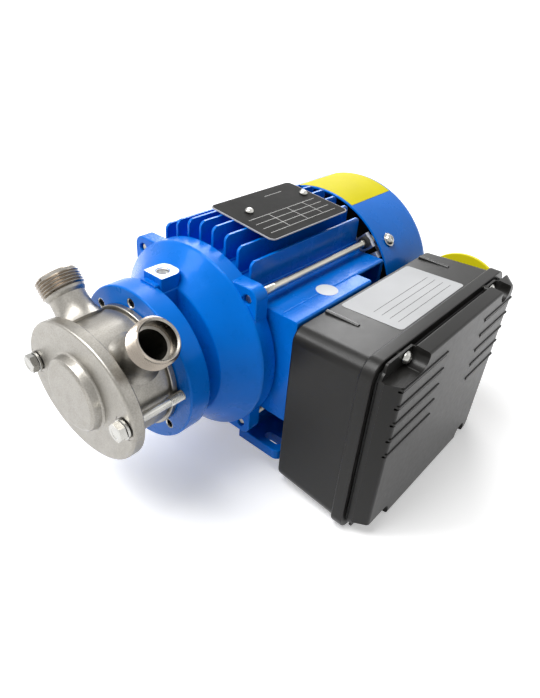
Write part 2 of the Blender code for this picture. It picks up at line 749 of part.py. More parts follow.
def build_impeller():
    start = COVER_REAR + COVER_SPIGOT + RUN_GAP
    end = CHAMBER_REAR - RUN_GAP
    loops = [impeller_outline(), circle(INSERT_RADIUS + SEAT_GAP, SMALL)]
    add_part("impeller", outline_mesh(loops, start, end), BLACK_RUBBER, ALONG_SHAFT, parent=ROTOR)
    insert = add_part("impeller_insert", turned_mesh(ring_profile(start, end, SHAFT_RADIUS + SEAT_GAP,
                                                                 INSERT_RADIUS), SMALL),
                      BRASS, TURNED_ON_SHAFT, parent=ROTOR)
    key_base = SHAFT_RADIUS - 2.4 * MM
    key_top = key_base + KEY_WIDTH
    key_start = start + 1 * MM
    half = KEY_WIDTH / 2
    slot_top = key_top + SEAT_GAP
    cut(insert, block_mesh((start - SINK, -half - SEAT_GAP, 0), (end + SINK, half + SEAT_GAP, slot_top)))
    add_part("impeller_key", block_mesh((key_start, -half, key_base), (key_start + KEY_LENGTH, half, key_top)),
             BRIGHT_STEEL, parent=ROTOR)
    return key_start, key_base


def build_seal():
    shaft = SHAFT_RADIUS + SEAT_GAP
    seat_end = NECK_REAR - 1.5 * MM - SEAT_GAP
    seat_start = seat_end - 4 * MM
    ring_end = seat_start - SEAT_GAP
    head_front = ring_end - 3.6 * MM
    collar_front = CHAMBER_REAR + RUN_GAP
    bellows_end = head_front - SEAT_GAP
    add_part("seal_seat", turned_mesh(ring_profile(seat_start, seat_end, SHAFT_RADIUS + 0.9 * MM,
                                                   SEAL_BORE - SEAT_GAP), SMALL), CERAMIC, TURNED_ON_SHAFT)
    ring = [(head_front, shaft), (head_front, 12.4 * MM), (head_front + 1.8 * MM, 12.4 * MM),
            (head_front + 1.8 * MM, 11 * MM), (ring_end, 11 * MM), (ring_end, shaft)]
    add_part("seal_ring", turned_mesh(ring, SMALL), CARBON, TURNED_ON_SHAFT, parent=ROTOR)
    bellows = [(collar_front, shaft), (collar_front, 12.4 * MM), (collar_front + 1.2 * MM, 12.4 * MM),
               (collar_front + 1.2 * MM, 9 * MM), (bellows_end, 9 * MM), (bellows_end, shaft)]
    add_part("seal_bellows", turned_mesh(bellows, SMALL), BLACK_RUBBER, TURNED_ON_SHAFT, parent=ROTOR)
    wire = 0.7 * MM
    first = collar_front + 1.2 * MM + SEAT_GAP + wire
    last = head_front - SEAT_GAP - wire
    turns = 2.5
    count = 21
    coil = []
    for i in range(count):
        share = i / (count - 1)
        angle = 2 * math.pi * turns * share
        coil.append((first + (last - first) * share, 11.1 * MM * math.cos(angle), 11.1 * MM * math.sin(angle)))
    add_part("seal_spring", tube_mesh(coil, wire), BRIGHT_STEEL, parent=ROTOR)
    middle = (DISC_REAR + BELL_FRONT) / 2
    add_part("slinger", turned_mesh([(middle - 2.5 * MM, shaft), (middle - 2.5 * MM, 10 * MM),
                                     (middle - 0.8 * MM, 15 * MM), (middle + 0.8 * MM, 15 * MM),
                                     (middle + 2.5 * MM, 10 * MM), (middle + 2.5 * MM, shaft)], SMALL),
             BLACK_RUBBER, TURNED_ON_SHAFT, parent=ROTOR)


# End bell

def build_end_bell():
    end = -SEAT_GAP
    rim = -BELL_BAND
    hub = BEARING_OUTER + SEAT_GAP
    pocket_front = FRONT_BEARING - SEAT_GAP
    hub_end = FRONT_BEARING + BEARING_WIDTH
    spigot = FRAME_RADIUS - FRAME_WALL - SEAT_GAP
    outside = [(BELL_FRONT, 0), (BELL_FRONT, BELL_NOSE_RADIUS), (rim, BELL_RIM_RADIUS), (end, BELL_RIM_RADIUS),
               (end, spigot), (BELL_SPIGOT, spigot), (BELL_SPIGOT, 0)]
    bell = add_part("end_bell", turned_mesh(outside, LARGE), BLUE_PAINT, TURNED_ON_SHAFT)
    ear_square = rounded_rectangle(-EAR_REACH, EAR_REACH, -EAR_REACH, EAR_REACH, EAR_CORNER)
    join(bell, outline_mesh([ear_square], -EAR_THICKNESS, end), ALONG_SHAFT)
    inner_front = BELL_FRONT + BELL_WALL
    lip = SHAFT_RADIUS + 3 * MM
    inside = [(BELL_SPIGOT + SINK, 0), (BELL_SPIGOT + SINK, spigot - BELL_WALL), (rim, spigot - BELL_WALL),
              (inner_front, BELL_NOSE_RADIUS - BELL_WALL), (inner_front, hub + 5 * MM), (hub_end, hub + 5 * MM),
              (hub_end, hub), (pocket_front, hub), (pocket_front, lip), (BELL_FRONT - SINK, lip),
              (BELL_FRONT - SINK, 0)]
    cut(bell, turned_mesh(inside, LARGE), TURNED_ON_SHAFT)
    bore = NECK_RADIUS + SEAT_GAP
    join(bell, turned_mesh(ring_profile(DISC_FRONT, DISC_REAR, bore, DISC_RADIUS), LARGE), TURNED_ON_SHAFT)
    ribs = [block_mesh((DISC_REAR - SINK, -RIB_HALF_WIDTH, low), (BELL_FRONT + SINK, RIB_HALF_WIDTH, high))
            for low, high in ((18.5 * MM, BELL_NOSE_RADIUS), (-BELL_NOSE_RADIUS + 2 * MM, -18.5 * MM))]
    join(bell, gathered(ribs))
    pad_start = DISC_REAR + 1.3 * MM
    pad_end = pad_start + TOP_PAD_LENGTH
    round_start = pad_end - TOP_PAD_HALF_WIDTH + 2 * MM
    width = TOP_PAD_HALF_WIDTH
    pad = [(pad_start, -width), (round_start, -width)]
    pad += arc(round_start, -width + 6 * MM, 6 * MM, -math.pi / 2, 0, 3)
    pad += arc(round_start, width - 6 * MM, 6 * MM, 0, math.pi / 2, 3)
    pad += [(round_start, width), (pad_start, width)]
    pad = [point for i, point in enumerate(pad) if i == 0 or point != pad[i - 1]]
    join(bell, outline_mesh([pad], BELL_NOSE_RADIUS - 8 * MM, TOP_PAD_HEIGHT))
    cut(bell, cylinder_mesh(TOP_PAD_HOLE, TOP_PAD_HEIGHT - TOP_PAD_HOLE_DEPTH, TOP_PAD_HEIGHT + SINK, FINE),
        location=((pad_start + pad_end) / 2 - 0.5 * MM, 0, 0))
    hole = cylinder_mesh(DISC_HOLE_RADIUS + BOLT_GAP, DISC_FRONT - SINK, DISC_FRONT + DISC_HOLE_DEPTH, TINY)
    holes = [moved(hole, facing(TURNED_ON_SHAFT, on_circle(DISC_BOLT_CIRCLE, angle)))
             for angle in around_shaft(DISC_HOLES)]
    ear_hole = cylinder_mesh(ROD_RADIUS + 2 * BOLT_GAP, -EAR_THICKNESS - SINK, end + SINK, TINY)
    holes += [moved(ear_hole, facing(TURNED_ON_SHAFT, (0, y * ROD_OFFSET, z * ROD_OFFSET)))
              for y in (-1, 1) for z in (-1, 1)]
    cut(bell, gathered(holes))


# Motor

def fin_mesh(low, high, turn):
    """One cooling fin, drawn along the shaft with its two outer corners rounded."""
    start = 1.0 * MM
    end = FRAME_LENGTH
    outline = [(start, low)]
    outline += arc(start + FIN_CORNER, high - FIN_CORNER, FIN_CORNER, math.pi, math.pi / 2, 3)
    outline += arc(end - FIN_CORNER, high - FIN_CORNER, FIN_CORNER, math.pi / 2, 0, 3)
    outline.append((end, low))
    fin = outline_mesh([outline], -FIN_THICKNESS / 2, FIN_THICKNESS / 2)
    fin.transform(facing(TOWARDS_BOX))
    fin.transform(Matrix.Rotation(turn, 4, "X"))
    return fin


def build_motor_frame():
    inner = FRAME_RADIUS - FRAME_WALL
    frame = add_part("motor_frame", turned_mesh(ring_profile(0, FRAME_LENGTH, inner, FRAME_RADIUS), LARGE),
                     BLUE_PAINT, TURNED_ON_SHAFT)
    fins = []
    root = FRAME_RADIUS - 1.5 * MM
    for i in range(8):
        offset = (i - 3.5) * FIN_PITCH
        low = math.sqrt(root ** 2 - offset ** 2)
        high = math.sqrt(FIN_TIP_RADIUS ** 2 - offset ** 2)
        fins.append(moved(fin_mesh(low, high, 0), Matrix.Translation((0, offset, 0))))
        if i > 0:
            fins.append(moved(fin_mesh(low, high, -math.pi / 2), Matrix.Translation((0, 0, offset))))
    join(frame, gathered(fins))
    blocks = [block_mesh((PAD_FRONT, -PAD_BODY_OUT, PAD_BOTTOM), (FRAME_LENGTH, -30 * MM, PAD_TOP))]
    join(frame, gathered(blocks))
    join(frame, block_mesh((PAD_FRONT, -PAD_FACE_OUT, PAD_BOTTOM),
                           (PAD_FRONT + PAD_FACE_LENGTH, -PAD_BODY_OUT + SINK, PAD_TOP)))
    feet = []
    for side in (-1, 1):
        profile = [(FOOT_INNER, BASE_Z), (FOOT_OUTER, BASE_Z), (FOOT_OUTER, BASE_Z + FOOT_THICKNESS),
                   (FOOT_INNER + FOOT_WEB, BASE_Z + FOOT_THICKNESS), (FOOT_INNER + FOOT_WEB, -36 * MM),
                   (FOOT_INNER, -38 * MM)]
        feet.append(moved(outline_mesh([[(side * y, z) for y, z in profile]], 0.5 * MM, FOOT_LENGTH),
                          facing(ALONG_SHAFT)))
    join(frame, gathered(feet))
    posts = [moved(cylinder_mesh(4 * MM, root - 2 * MM, plate_seat(PLATE_SCREW_OUT) - SEAT_GAP, FINE),
                   Matrix.Translation((x, -PLATE_SCREW_OUT, 0))) for x in PLATE_SCREWS]
    join(frame, gathered(posts))
    cut(frame, cylinder_mesh(inner, -SINK, FRAME_LENGTH + SINK, LARGE), TURNED_ON_SHAFT)
    pocket_start = PAD_FRONT + PAD_FACE_LENGTH
    cut(frame, block_mesh((pocket_start, -PAD_BODY_OUT - SINK, PAD_BOTTOM + PAD_PLATE),
                          (FRAME_LENGTH - 6 * MM, -PAD_POCKET_OUT - 6 * MM, PAD_TOP - PAD_PLATE)))
    slot_round = FOOT_SLOT_WIDTH / 2
    half = FOOT_SLOT_LENGTH / 2 - slot_round
    slots = []
    for side in (-1, 1):
        for x in (FOOT_HOLE_EDGE, FOOT_LENGTH - FOOT_HOLE_EDGE):
            middle = side * FOOT_HOLE_OUT
            outline = arc(x, middle + half, slot_round, 0, math.pi, 5)
            outline += arc(x, middle - half, slot_round, math.pi, 2 * math.pi, 5)
            slots.append(outline_mesh([outline], BASE_Z - SINK, BASE_Z + FOOT_THICKNESS + SINK))
    cut(frame, gathered(slots))
    wire_way = cylinder_mesh(WIRE_WAY_RADIUS, inner - 3 * MM, PAD_FACE_OUT + SINK, FINE)
    holes = [moved(wire_way, facing(TOWARDS_BOX, (WIRE_WAY_X, 0, WIRE_WAY_Z)))]
    screw_hole = cylinder_mesh(BOX_SCREW_RADIUS + BOLT_GAP, PAD_FACE_OUT - 10 * MM, PAD_FACE_OUT + SINK, TINY)
    holes += [moved(screw_hole, facing(TOWARDS_BOX, (x, 0, z))) for x in BOX_SCREWS_X for z in BOX_SCREWS_Z]
    plate_hole = cylinder_mesh(2.1 * MM, FIN_TIP_RADIUS - 8 * MM, FIN_TIP_RADIUS + SINK, TINY)
    holes += [moved(plate_hole, Matrix.Translation((x, -PLATE_SCREW_OUT, 0))) for x in PLATE_SCREWS]
    cut(frame, gathered(holes))


def build_shaft(key_start, key_base):
    front_end = FRONT_BEARING + BEARING_WIDTH + 0.5 * MM
    rear_end = REAR_BEARING + BEARING_WIDTH + 0.5 * MM
    bearing = BEARING_BORE - SEAT_GAP
    profile = [(SHAFT_FRONT, 0), (SHAFT_FRONT, SHAFT_RADIUS - 1 * MM), (SHAFT_FRONT + 1 * MM, SHAFT_RADIUS),
               (FRONT_BEARING - 3 * MM, SHAFT_RADIUS), (FRONT_BEARING - 3 * MM, bearing), (front_end, bearing),
               (front_end, ROTOR_JOURNAL), (REAR_BEARING - 0.5 * MM, ROTOR_JOURNAL),
               (REAR_BEARING - 0.5 * MM, bearing), (rear_end, bearing), (rear_end, FAN_JOURNAL),
               (SHAFT_REAR - 0.8 * MM, FAN_JOURNAL), (SHAFT_REAR, FAN_JOURNAL - 0.8 * MM), (SHAFT_REAR, 0)]
    shaft = add_part("motor_shaft", turned_mesh(profile, SMALL), BRIGHT_STEEL, TURNED_ON_SHAFT, parent=ROTOR)
    half = KEY_WIDTH / 2 + SEAT_GAP
    cut(shaft, block_mesh((key_start - SEAT_GAP, -half, key_base - SEAT_GAP),
                          (key_start + KEY_LENGTH + SEAT_GAP, half, SHAFT_RADIUS + SINK)))


def stator_bore():
    """Stator bore with a square slot for each coil side."""
    points = []
    pitch = 2 * math.pi / STATOR_SLOTS
    for angle in around_shaft(STATOR_SLOTS):
        for share, radius in ((-0.25, STATOR_BORE), (-0.25, STATOR_BORE + STATOR_SLOT_DEPTH),
                              (0.25, STATOR_BORE + STATOR_SLOT_DEPTH), (0.25, STATOR_BORE)):
            turn = angle + share * pitch
            points.append((radius * math.sin(turn), radius * math.cos(turn)))
    return points


def build_motor_insides():
    end = STATOR_START + STATOR_LENGTH
    outer = FRAME_RADIUS - FRAME_WALL - SEAT_GAP
    add_part("stator_core", outline_mesh([circle(outer, LARGE), stator_bore()], STATOR_START, end), LAMINATION,
             ALONG_SHAFT)
    for name, start, finish in (("front_winding", STATOR_START - WINDING_REACH, STATOR_START - SEAT_GAP),
                                ("rear_winding", end + SEAT_GAP, end + WINDING_REACH)):
        inner = STATOR_BORE + 2.5 * MM
        top = outer - 4 * MM
        bulge = 4 * MM
        profile = [(start, inner + bulge), (start, top - bulge), (start + bulge, top),
                   (finish - bulge, top), (finish, top - bulge), (finish, inner + bulge),
                   (finish - bulge, inner), (start + bulge, inner)]
        add_part(name, turned_mesh(profile, MEDIUM), COPPER, TURNED_ON_SHAFT)
    bore = ROTOR_JOURNAL + SEAT_GAP
    ring_inner = ROTOR_RADIUS - 9 * MM
    ring_outer = ROTOR_RADIUS - 1 * MM
    ring_start = STATOR_START - ROTOR_RING
    ring_end = end + ROTOR_RING
    profile = [(STATOR_START, bore), (STATOR_START, ring_inner), (ring_start, ring_inner),
               (ring_start, ring_outer), (STATOR_START, ring_outer), (STATOR_START, ROTOR_RADIUS),
               (end, ROTOR_RADIUS), (end, ring_outer),
               (ring_end, ring_outer), (ring_end, ring_inner), (end, ring_inner), (end, bore)]
    add_part("rotor_core", turned_mesh(profile, MEDIUM), LAMINATION, TURNED_ON_SHAFT, parent=ROTOR)


def build_bearing(side, start):
    end = start + BEARING_WIDTH
    middle = (start + end) / 2
    pitch = (BEARING_BORE + BEARING_OUTER) / 2
    groove = BALL_RADIUS + 0.3 * MM
    inner_land = BEARING_BORE + RACE_WALL
    outer_land = BEARING_OUTER - RACE_WALL

    def race(land, back, sign):
        reach = math.sqrt(groove ** 2 - (pitch - land) ** 2)
        half = math.asin(reach / groove)
        curve = [(middle + groove * math.sin(a), pitch + sign * groove * math.cos(a))
                 for a in (-half, 0, half)]
        return [(start, back), (start, land), *curve, (end, land), (end, back)]

    add_part(f"{side}_bearing_outer", turned_mesh(race(outer_land, BEARING_OUTER, 1), MEDIUM), BRIGHT_STEEL,
             TURNED_ON_SHAFT)
    add_part(f"{side}_bearing_inner", turned_mesh(race(inner_land, BEARING_BORE, -1), SMALL), BRIGHT_STEEL,
             TURNED_ON_SHAFT, parent=ROTOR)
    cage_axis = new_empty(f"{side}_cage_axis", STAND)
    radius = BALL_RADIUS - 0.15 * MM
    cage = add_part(f"{side}_bearing_cage",
                    turned_mesh(ring_profile(middle - 0.6 * MM, middle + 4.2 * MM, inner_land + 0.6 * MM,
                                             outer_land - 0.6 * MM), SMALL), BRASS, TURNED_ON_SHAFT,
                    parent=cage_axis)
    balls = [ball_mesh(radius, on_circle(pitch, angle, middle)) for angle in around_shaft(BEARING_BALLS)]
    join(cage, gathered(balls))


def build_rear_shield():
    front = FRAME_LENGTH + SEAT_GAP
    hub = BEARING_OUTER + SEAT_GAP
    spigot = FRAME_RADIUS - FRAME_WALL - SEAT_GAP
    pocket_front = REAR_BEARING - 1.8 * MM
    pocket_end = REAR_BEARING + BEARING_WIDTH + 2.4 * MM
    profile = [(front - 6 * MM, spigot), (front, spigot), (front, FRAME_RADIUS), (front + 4 * MM, FRAME_RADIUS),
               (front + 9 * MM, 46 * MM), (front + 9 * MM, hub + 4 * MM), (pocket_end + 2 * MM, hub + 4 * MM),
               (pocket_end + 2 * MM, FAN_JOURNAL + 3 * MM), (pocket_end, FAN_JOURNAL + 3 * MM),
               (pocket_end, hub), (pocket_front, hub), (pocket_front, hub + 4 * MM),
               (front + 4 * MM, hub + 6 * MM), (front + 4 * MM, 45 * MM), (front, spigot - 4 * MM),
               (front - 6 * MM, spigot - 4 * MM)]
    shield = add_part("rear_shield", turned_mesh(profile, LARGE), SILVER_CASTING, TURNED_ON_SHAFT)
    reach = COWL_RADIUS - COWL_WALL - 1.3 * MM
    ear = block_mesh((EAR_FRONT, -5.5 * MM, 44 * MM), (EAR_FRONT + EAR_PLATE, 5.5 * MM, reach))
    ears = [moved(ear, Matrix.Rotation(math.pi / 4 + i * math.pi / 2, 4, "X")) for i in range(4)]
    join(shield, gathered(ears))
    step = block_mesh((front + 1 * MM, 3.6 * MM, 50 * MM), (COWL_SCREW_AT - 4 * MM, 8.4 * MM, reach - 0.6 * MM))
    lug = block_mesh((COWL_SCREW_AT - 5 * MM, -5 * MM, FAN_RADIUS + 2 * MM),
                     (COWL_SCREW_AT + 5 * MM, 9 * MM, reach))
    for y_sign, z_sign in ((-1, 1), (1, 1), (1, -1), (-1, -1)):
        flip = Matrix.Diagonal((1, y_sign, z_sign, 1)) @ Matrix.Rotation(-COWL_SCREW_ANGLE, 4, "X")
        pair = [moved(step, flip), moved(lug, flip)]
        for shape in pair:
            if y_sign * z_sign < 0:
                shape.flip_normals()
        join(shield, united_mesh(pair))
    hole = cylinder_mesh(ROD_RADIUS + 2 * BOLT_GAP, front - SINK, EAR_FRONT + EAR_PLATE + SINK, TINY)
    holes = [moved(hole, facing(TURNED_ON_SHAFT, (0, y * ROD_OFFSET, z * ROD_OFFSET)))
             for y in (-1, 1) for z in (-1, 1)]
    tapped = cylinder_mesh(2.2 * MM, FAN_RADIUS + 1 * MM, COWL_RADIUS, TINY)
    holes += [moved(tapped, cowl_screw_frame(i)) for i in range(4)]
    cut(shield, gathered(holes))
    washer = ring_profile(REAR_BEARING + BEARING_WIDTH + SEAT_GAP, pocket_end - SEAT_GAP,
                          13 * MM, BEARING_OUTER - 0.4 * MM)
    add_part("wave_washer", turned_mesh(washer, SMALL), BRIGHT_STEEL, TURNED_ON_SHAFT)


def cowl_screw_frame(i):
    """Local Z points outwards through one of the four cowl screws."""
    angle = (-COWL_SCREW_ANGLE, COWL_SCREW_ANGLE, math.pi - COWL_SCREW_ANGLE, math.pi + COWL_SCREW_ANGLE)[i]
    return Matrix.Translation((COWL_SCREW_AT, 0, 0)) @ Matrix.Rotation(-angle, 4, "X")


def build_tie_rods():
    tip = -EAR_THICKNESS + 3 * MM
    head = EAR_FRONT + EAR_PLATE + SEAT_GAP
    thick = 13 * MM
    rod = turned_mesh([(tip, 0), (tip, ROD_RADIUS), (thick, ROD_RADIUS), (thick, ROD_SHANK),
                       (FRAME_LENGTH - 6 * MM, ROD_SHANK), (FRAME_LENGTH - 6 * MM, ROD_RADIUS),
                       (head, ROD_RADIUS), (head, ROD_FLANGE_RADIUS), (head + 1 * MM, ROD_FLANGE_RADIUS),
                       (head + 1.2 * MM, ROD_HEAD_RADIUS), (head + ROD_HEAD_HEIGHT, ROD_HEAD_RADIUS),
                       (head + ROD_HEAD_HEIGHT, 0)], TINY)
    places = [facing(TURNED_ON_SHAFT, (0, y * ROD_OFFSET, z * ROD_OFFSET)) for y in (-1, 1) for z in (-1, 1)]
    add_copies("tie_rod", rod, ZINC, places)


def build_fan():
    bore = FAN_JOURNAL + SEAT_GAP
    end = FAN_START + FAN_WIDTH
    hub = 12 * MM
    profile = [(FAN_START - 3.5 * MM, bore), (FAN_START - 3.5 * MM, hub), (FAN_START, hub),
               (FAN_START, FAN_RADIUS), (FAN_START + 1.6 * MM, FAN_RADIUS), (FAN_START + 1.6 * MM, hub),
               (end + 4 * MM, hub), (end + 4 * MM, bore)]
    fan = add_part("cooling_fan", turned_mesh(profile, MEDIUM), BLACK_PLASTIC, TURNED_ON_SHAFT, parent=ROTOR)
    blade = outline_mesh([[(FAN_START + 1 * MM, hub - 1.5 * MM), (FAN_START + 1 * MM, FAN_RADIUS - 1 * MM),
                           (end, FAN_RADIUS - 6 * MM), (end, hub - 1.5 * MM)]], -0.9 * MM, 0.9 * MM)
    blade.transform(facing(TOWARDS_BOX))
    join(fan, gathered([moved(blade, Matrix.Rotation(angle, 4, "X")) for angle in around_shaft(FAN_BLADES)]))
    clip = ring_profile(end + 1.2 * MM, end + 2.8 * MM, hub + SEAT_GAP, hub + 1.4 * MM)
    add_part("fan_clip", turned_mesh(clip, SMALL), BRIGHT_STEEL, TURNED_ON_SHAFT, parent=ROTOR)


def build_cowl():
    inner = COWL_RADIUS - COWL_WALL
    bend = COWL_END - COWL_ROUND
    outer_bend = arc(bend, COWL_RADIUS - COWL_ROUND, COWL_ROUND, math.pi / 2, 0, 4)
    inner_bend = arc(bend, COWL_RADIUS - COWL_ROUND, COWL_ROUND - COWL_WALL, 0, math.pi / 2, 4)
    outside = [(COWL_START, 0), (COWL_START, COWL_RADIUS), *outer_bend, (COWL_END, 0)]
    hollow = [(COWL_START - SINK, 0), (COWL_START - SINK, inner), *reversed(inner_bend),
              (COWL_END - COWL_WALL, 0)]
    cowl = add_part("fan_cowl", turned_mesh(outside, LARGE), BLUE_PAINT, TURNED_ON_SHAFT)
    cut(cowl, turned_mesh(hollow, LARGE), TURNED_ON_SHAFT)
    slots = []
    for low, high, count in ((12 * MM, 28 * MM, COWL_SLOTS // 2), (36 * MM, 57 * MM, COWL_SLOTS)):
        half = 2.2 * MM
        outline = arc(0, high, half, 0, math.pi, 3) + arc(0, low, half, math.pi, 2 * math.pi, 3)
        slot = moved(outline_mesh([outline], COWL_END - COWL_WALL - SINK, COWL_END + SINK), facing(ALONG_SHAFT))
        slots += [moved(slot, Matrix.Rotation(angle, 4, "X")) for angle in around_shaft(count)]
    cut(cowl, gathered(slots))
    hole = cylinder_mesh(2.3 * MM, inner - 2 * MM, COWL_RADIUS + SINK, TINY)
    cut(cowl, gathered([moved(hole, cowl_screw_frame(i)) for i in range(4)]))
    seat = COWL_RADIUS + SEAT_GAP
    screw = turned_mesh([(FAN_RADIUS + 4 * MM, 0), (FAN_RADIUS + 4 * MM, 1.9 * MM), (seat, 1.9 * MM),
                         (seat, 5 * MM), (seat + 0.9 * MM, 5 * MM), (seat + 0.9 * MM, 3.9 * MM),
                         (seat + 2.3 * MM, 3.5 * MM),
                         (seat + 3.3 * MM, 2.2 * MM), (seat + 3.6 * MM, 0)], TINY)
    add_copies("cowl_screw", screw, BRIGHT_STEEL, [cowl_screw_frame(i) for i in range(4)])


# Nameplate

def plate_seat(out):
    """Height of the nameplate's underside at a distance out from the shaft towards the box."""
    first_fin = FIN_PITCH / 2
    height = math.sqrt(FIN_TIP_RADIUS ** 2 - first_fin ** 2) + SEAT_GAP
    return height - (out - first_fin) * math.tan(PLATE_ROLL)


def build_nameplate():
    half = PLATE_WIDTH / 2
    outline = rounded_rectangle(PLATE_START, PLATE_START + PLATE_LENGTH, -half, half, PLATE_CORNER)
    place = Vector((0, -PLATE_OUT, plate_seat(PLATE_OUT)))
    tilt = Matrix.Rotation(PLATE_ROLL, 3, "X")
    plate = add_part("nameplate", outline_mesh([outline], SEAT_GAP, SEAT_GAP + PLATE_SHEET), BLACK_PLATE,
                     tilt, place)
    along = (PLATE_OUT - PLATE_SCREW_OUT) / math.cos(PLATE_ROLL)
    hole = cylinder_mesh(1.6 * MM, -2 * MM, 2 * MM + PLATE_SHEET, TINY)
    cut(plate, gathered([moved(hole, Matrix.Translation((x, along, 0))) for x in PLATE_SCREWS]), tilt, place)
    top = 2 * SEAT_GAP + PLATE_SHEET
    screw = turned_mesh([(-4 * MM, 0), (-4 * MM, 1.2 * MM), (top, 1.2 * MM), (top, 2.9 * MM),
                         (top + 0.9 * MM, 2.7 * MM), (top + 1.9 * MM, 1.5 * MM), (top + 2.1 * MM, 0)], TINY)
    add_copies("nameplate_screw", screw, BRIGHT_STEEL,
               [facing(tilt, place) @ Matrix.Translation((x, along, 0)) for x in PLATE_SCREWS])


# Switch box; drawn in local X and Z with local height measured outwards towards -Y

def box_section(out, inset=0.0, corner=None):
    share = (out - BOX_BACK_OUT) / (BOX_FACE_OUT - BOX_BACK_OUT)
    spread = BOX_DRAFT * share - inset
    radius = (BOX_CORNER if corner is None else corner) - min(inset, BOX_CORNER / 2)
    return rounded_rectangle(BOX_LEFT - spread, BOX_RIGHT + spread, BOX_BOTTOM - spread,
                             BOX_TOP + spread, radius)


def box_end_wall(out):
    """Where the drafted end wall stands, at a distance out from the shaft."""
    return BOX_RIGHT + BOX_DRAFT * (out - BOX_BACK_OUT) / (BOX_FACE_OUT - BOX_BACK_OUT)


def lid_section(out, inset=0.0):
    share = (LID_FACE_OUT - out) / (LID_FACE_OUT - BOX_FACE_OUT)
    side = LID_DRAFT * share - inset
    left = LID_LEFT - LID_LEFT_DRAFT * share + inset
    right = LID_RIGHT + LID_RIGHT_DRAFT * share - inset
    radius = max(LID_CORNER - inset, 1.5 * MM)
    return rounded_rectangle(left, right, LID_BOTTOM - side, LID_TOP + side, radius)


def build_box_base():
    back = BOX_BACK_OUT
    soft = 1.6 * MM
    outside = loft_mesh([at_height(box_section(back, soft), back),
                         at_height(box_section(back + soft), back + soft),
                         at_height(box_section(BOX_FACE_OUT), BOX_FACE_OUT)])
    base = add_part("box_base", outside, BLACK_PLASTIC, TOWARDS_BOX)
    lip = loft_mesh([at_height(box_section(BOX_LIP_OUT, -BOX_LIP), BOX_LIP_OUT),
                     at_height(box_section(BOX_FACE_OUT, -BOX_LIP), BOX_FACE_OUT)])
    join(base, lip, TOWARDS_BOX)
    hollow = loft_mesh([at_height(box_section(back, BOX_WALL), back + BOX_WALL),
                        at_height(box_section(BOX_FACE_OUT, BOX_WALL), BOX_FACE_OUT + SINK)])
    cut(base, hollow, TOWARDS_BOX)
    post = cylinder_mesh(POST_RADIUS, BOX_FACE_OUT - LID_SCREW_DEPTH - 1.5 * MM, BOX_FACE_OUT, FINE)
    join(base, gathered([moved(post, Matrix.Translation((x, z, 0))) for x in LID_SCREWS_X
                         for z in LID_SCREWS_Z]), TOWARDS_BOX)
    ridge = 1.2 * MM
    ridge_start = back + 2 * MM
    ridges = [block_mesh((x - ridge, BOX_TOP - 1.5 * MM, ridge_start),
                         (x + ridge, BOX_TOP + 2.1 * MM, ridge_start + RIDGE_LENGTH))
              for x in RIDGES_X]
    join(base, gathered(ridges), TOWARDS_BOX)
    screw = cylinder_mesh(BOX_SCREW_RADIUS + BOLT_GAP, back - SINK, back + BOX_WALL + SINK, TINY)
    holes = [moved(screw, Matrix.Translation((x, z, 0))) for x in BOX_SCREWS_X for z in BOX_SCREWS_Z]
    holes.append(moved(cylinder_mesh(WIRE_WAY_RADIUS, back - SINK, back + BOX_WALL + SINK, FINE),
                       Matrix.Translation((WIRE_WAY_X, WIRE_WAY_Z, 0))))
    lid_hole = cylinder_mesh(1.8 * MM, BOX_FACE_OUT - LID_SCREW_DEPTH - 0.8 * MM, BOX_FACE_OUT + SINK, TINY)
    holes += [moved(lid_hole, Matrix.Translation((x, z, 0))) for x in LID_SCREWS_X for z in LID_SCREWS_Z]
    cut(base, gathered(holes), TOWARDS_BOX)
    end_holes = [moved(cylinder_mesh(SWITCH_STEM + 1.2 * MM, BOX_RIGHT - 8 * MM, BOX_RIGHT + 8 * MM, FINE),
                       facing(TURNED_ON_SHAFT, (0, -SWITCH_OUT, SWITCH_Z))),
                 moved(cylinder_mesh(GLAND_THREAD + SEAT_GAP, BOX_RIGHT - 8 * MM, BOX_RIGHT + 8 * MM, SMALL),
                       facing(TURNED_ON_SHAFT, (0, -SWITCH_OUT, GLAND_Z)))]
    cut(base, gathered(end_holes))


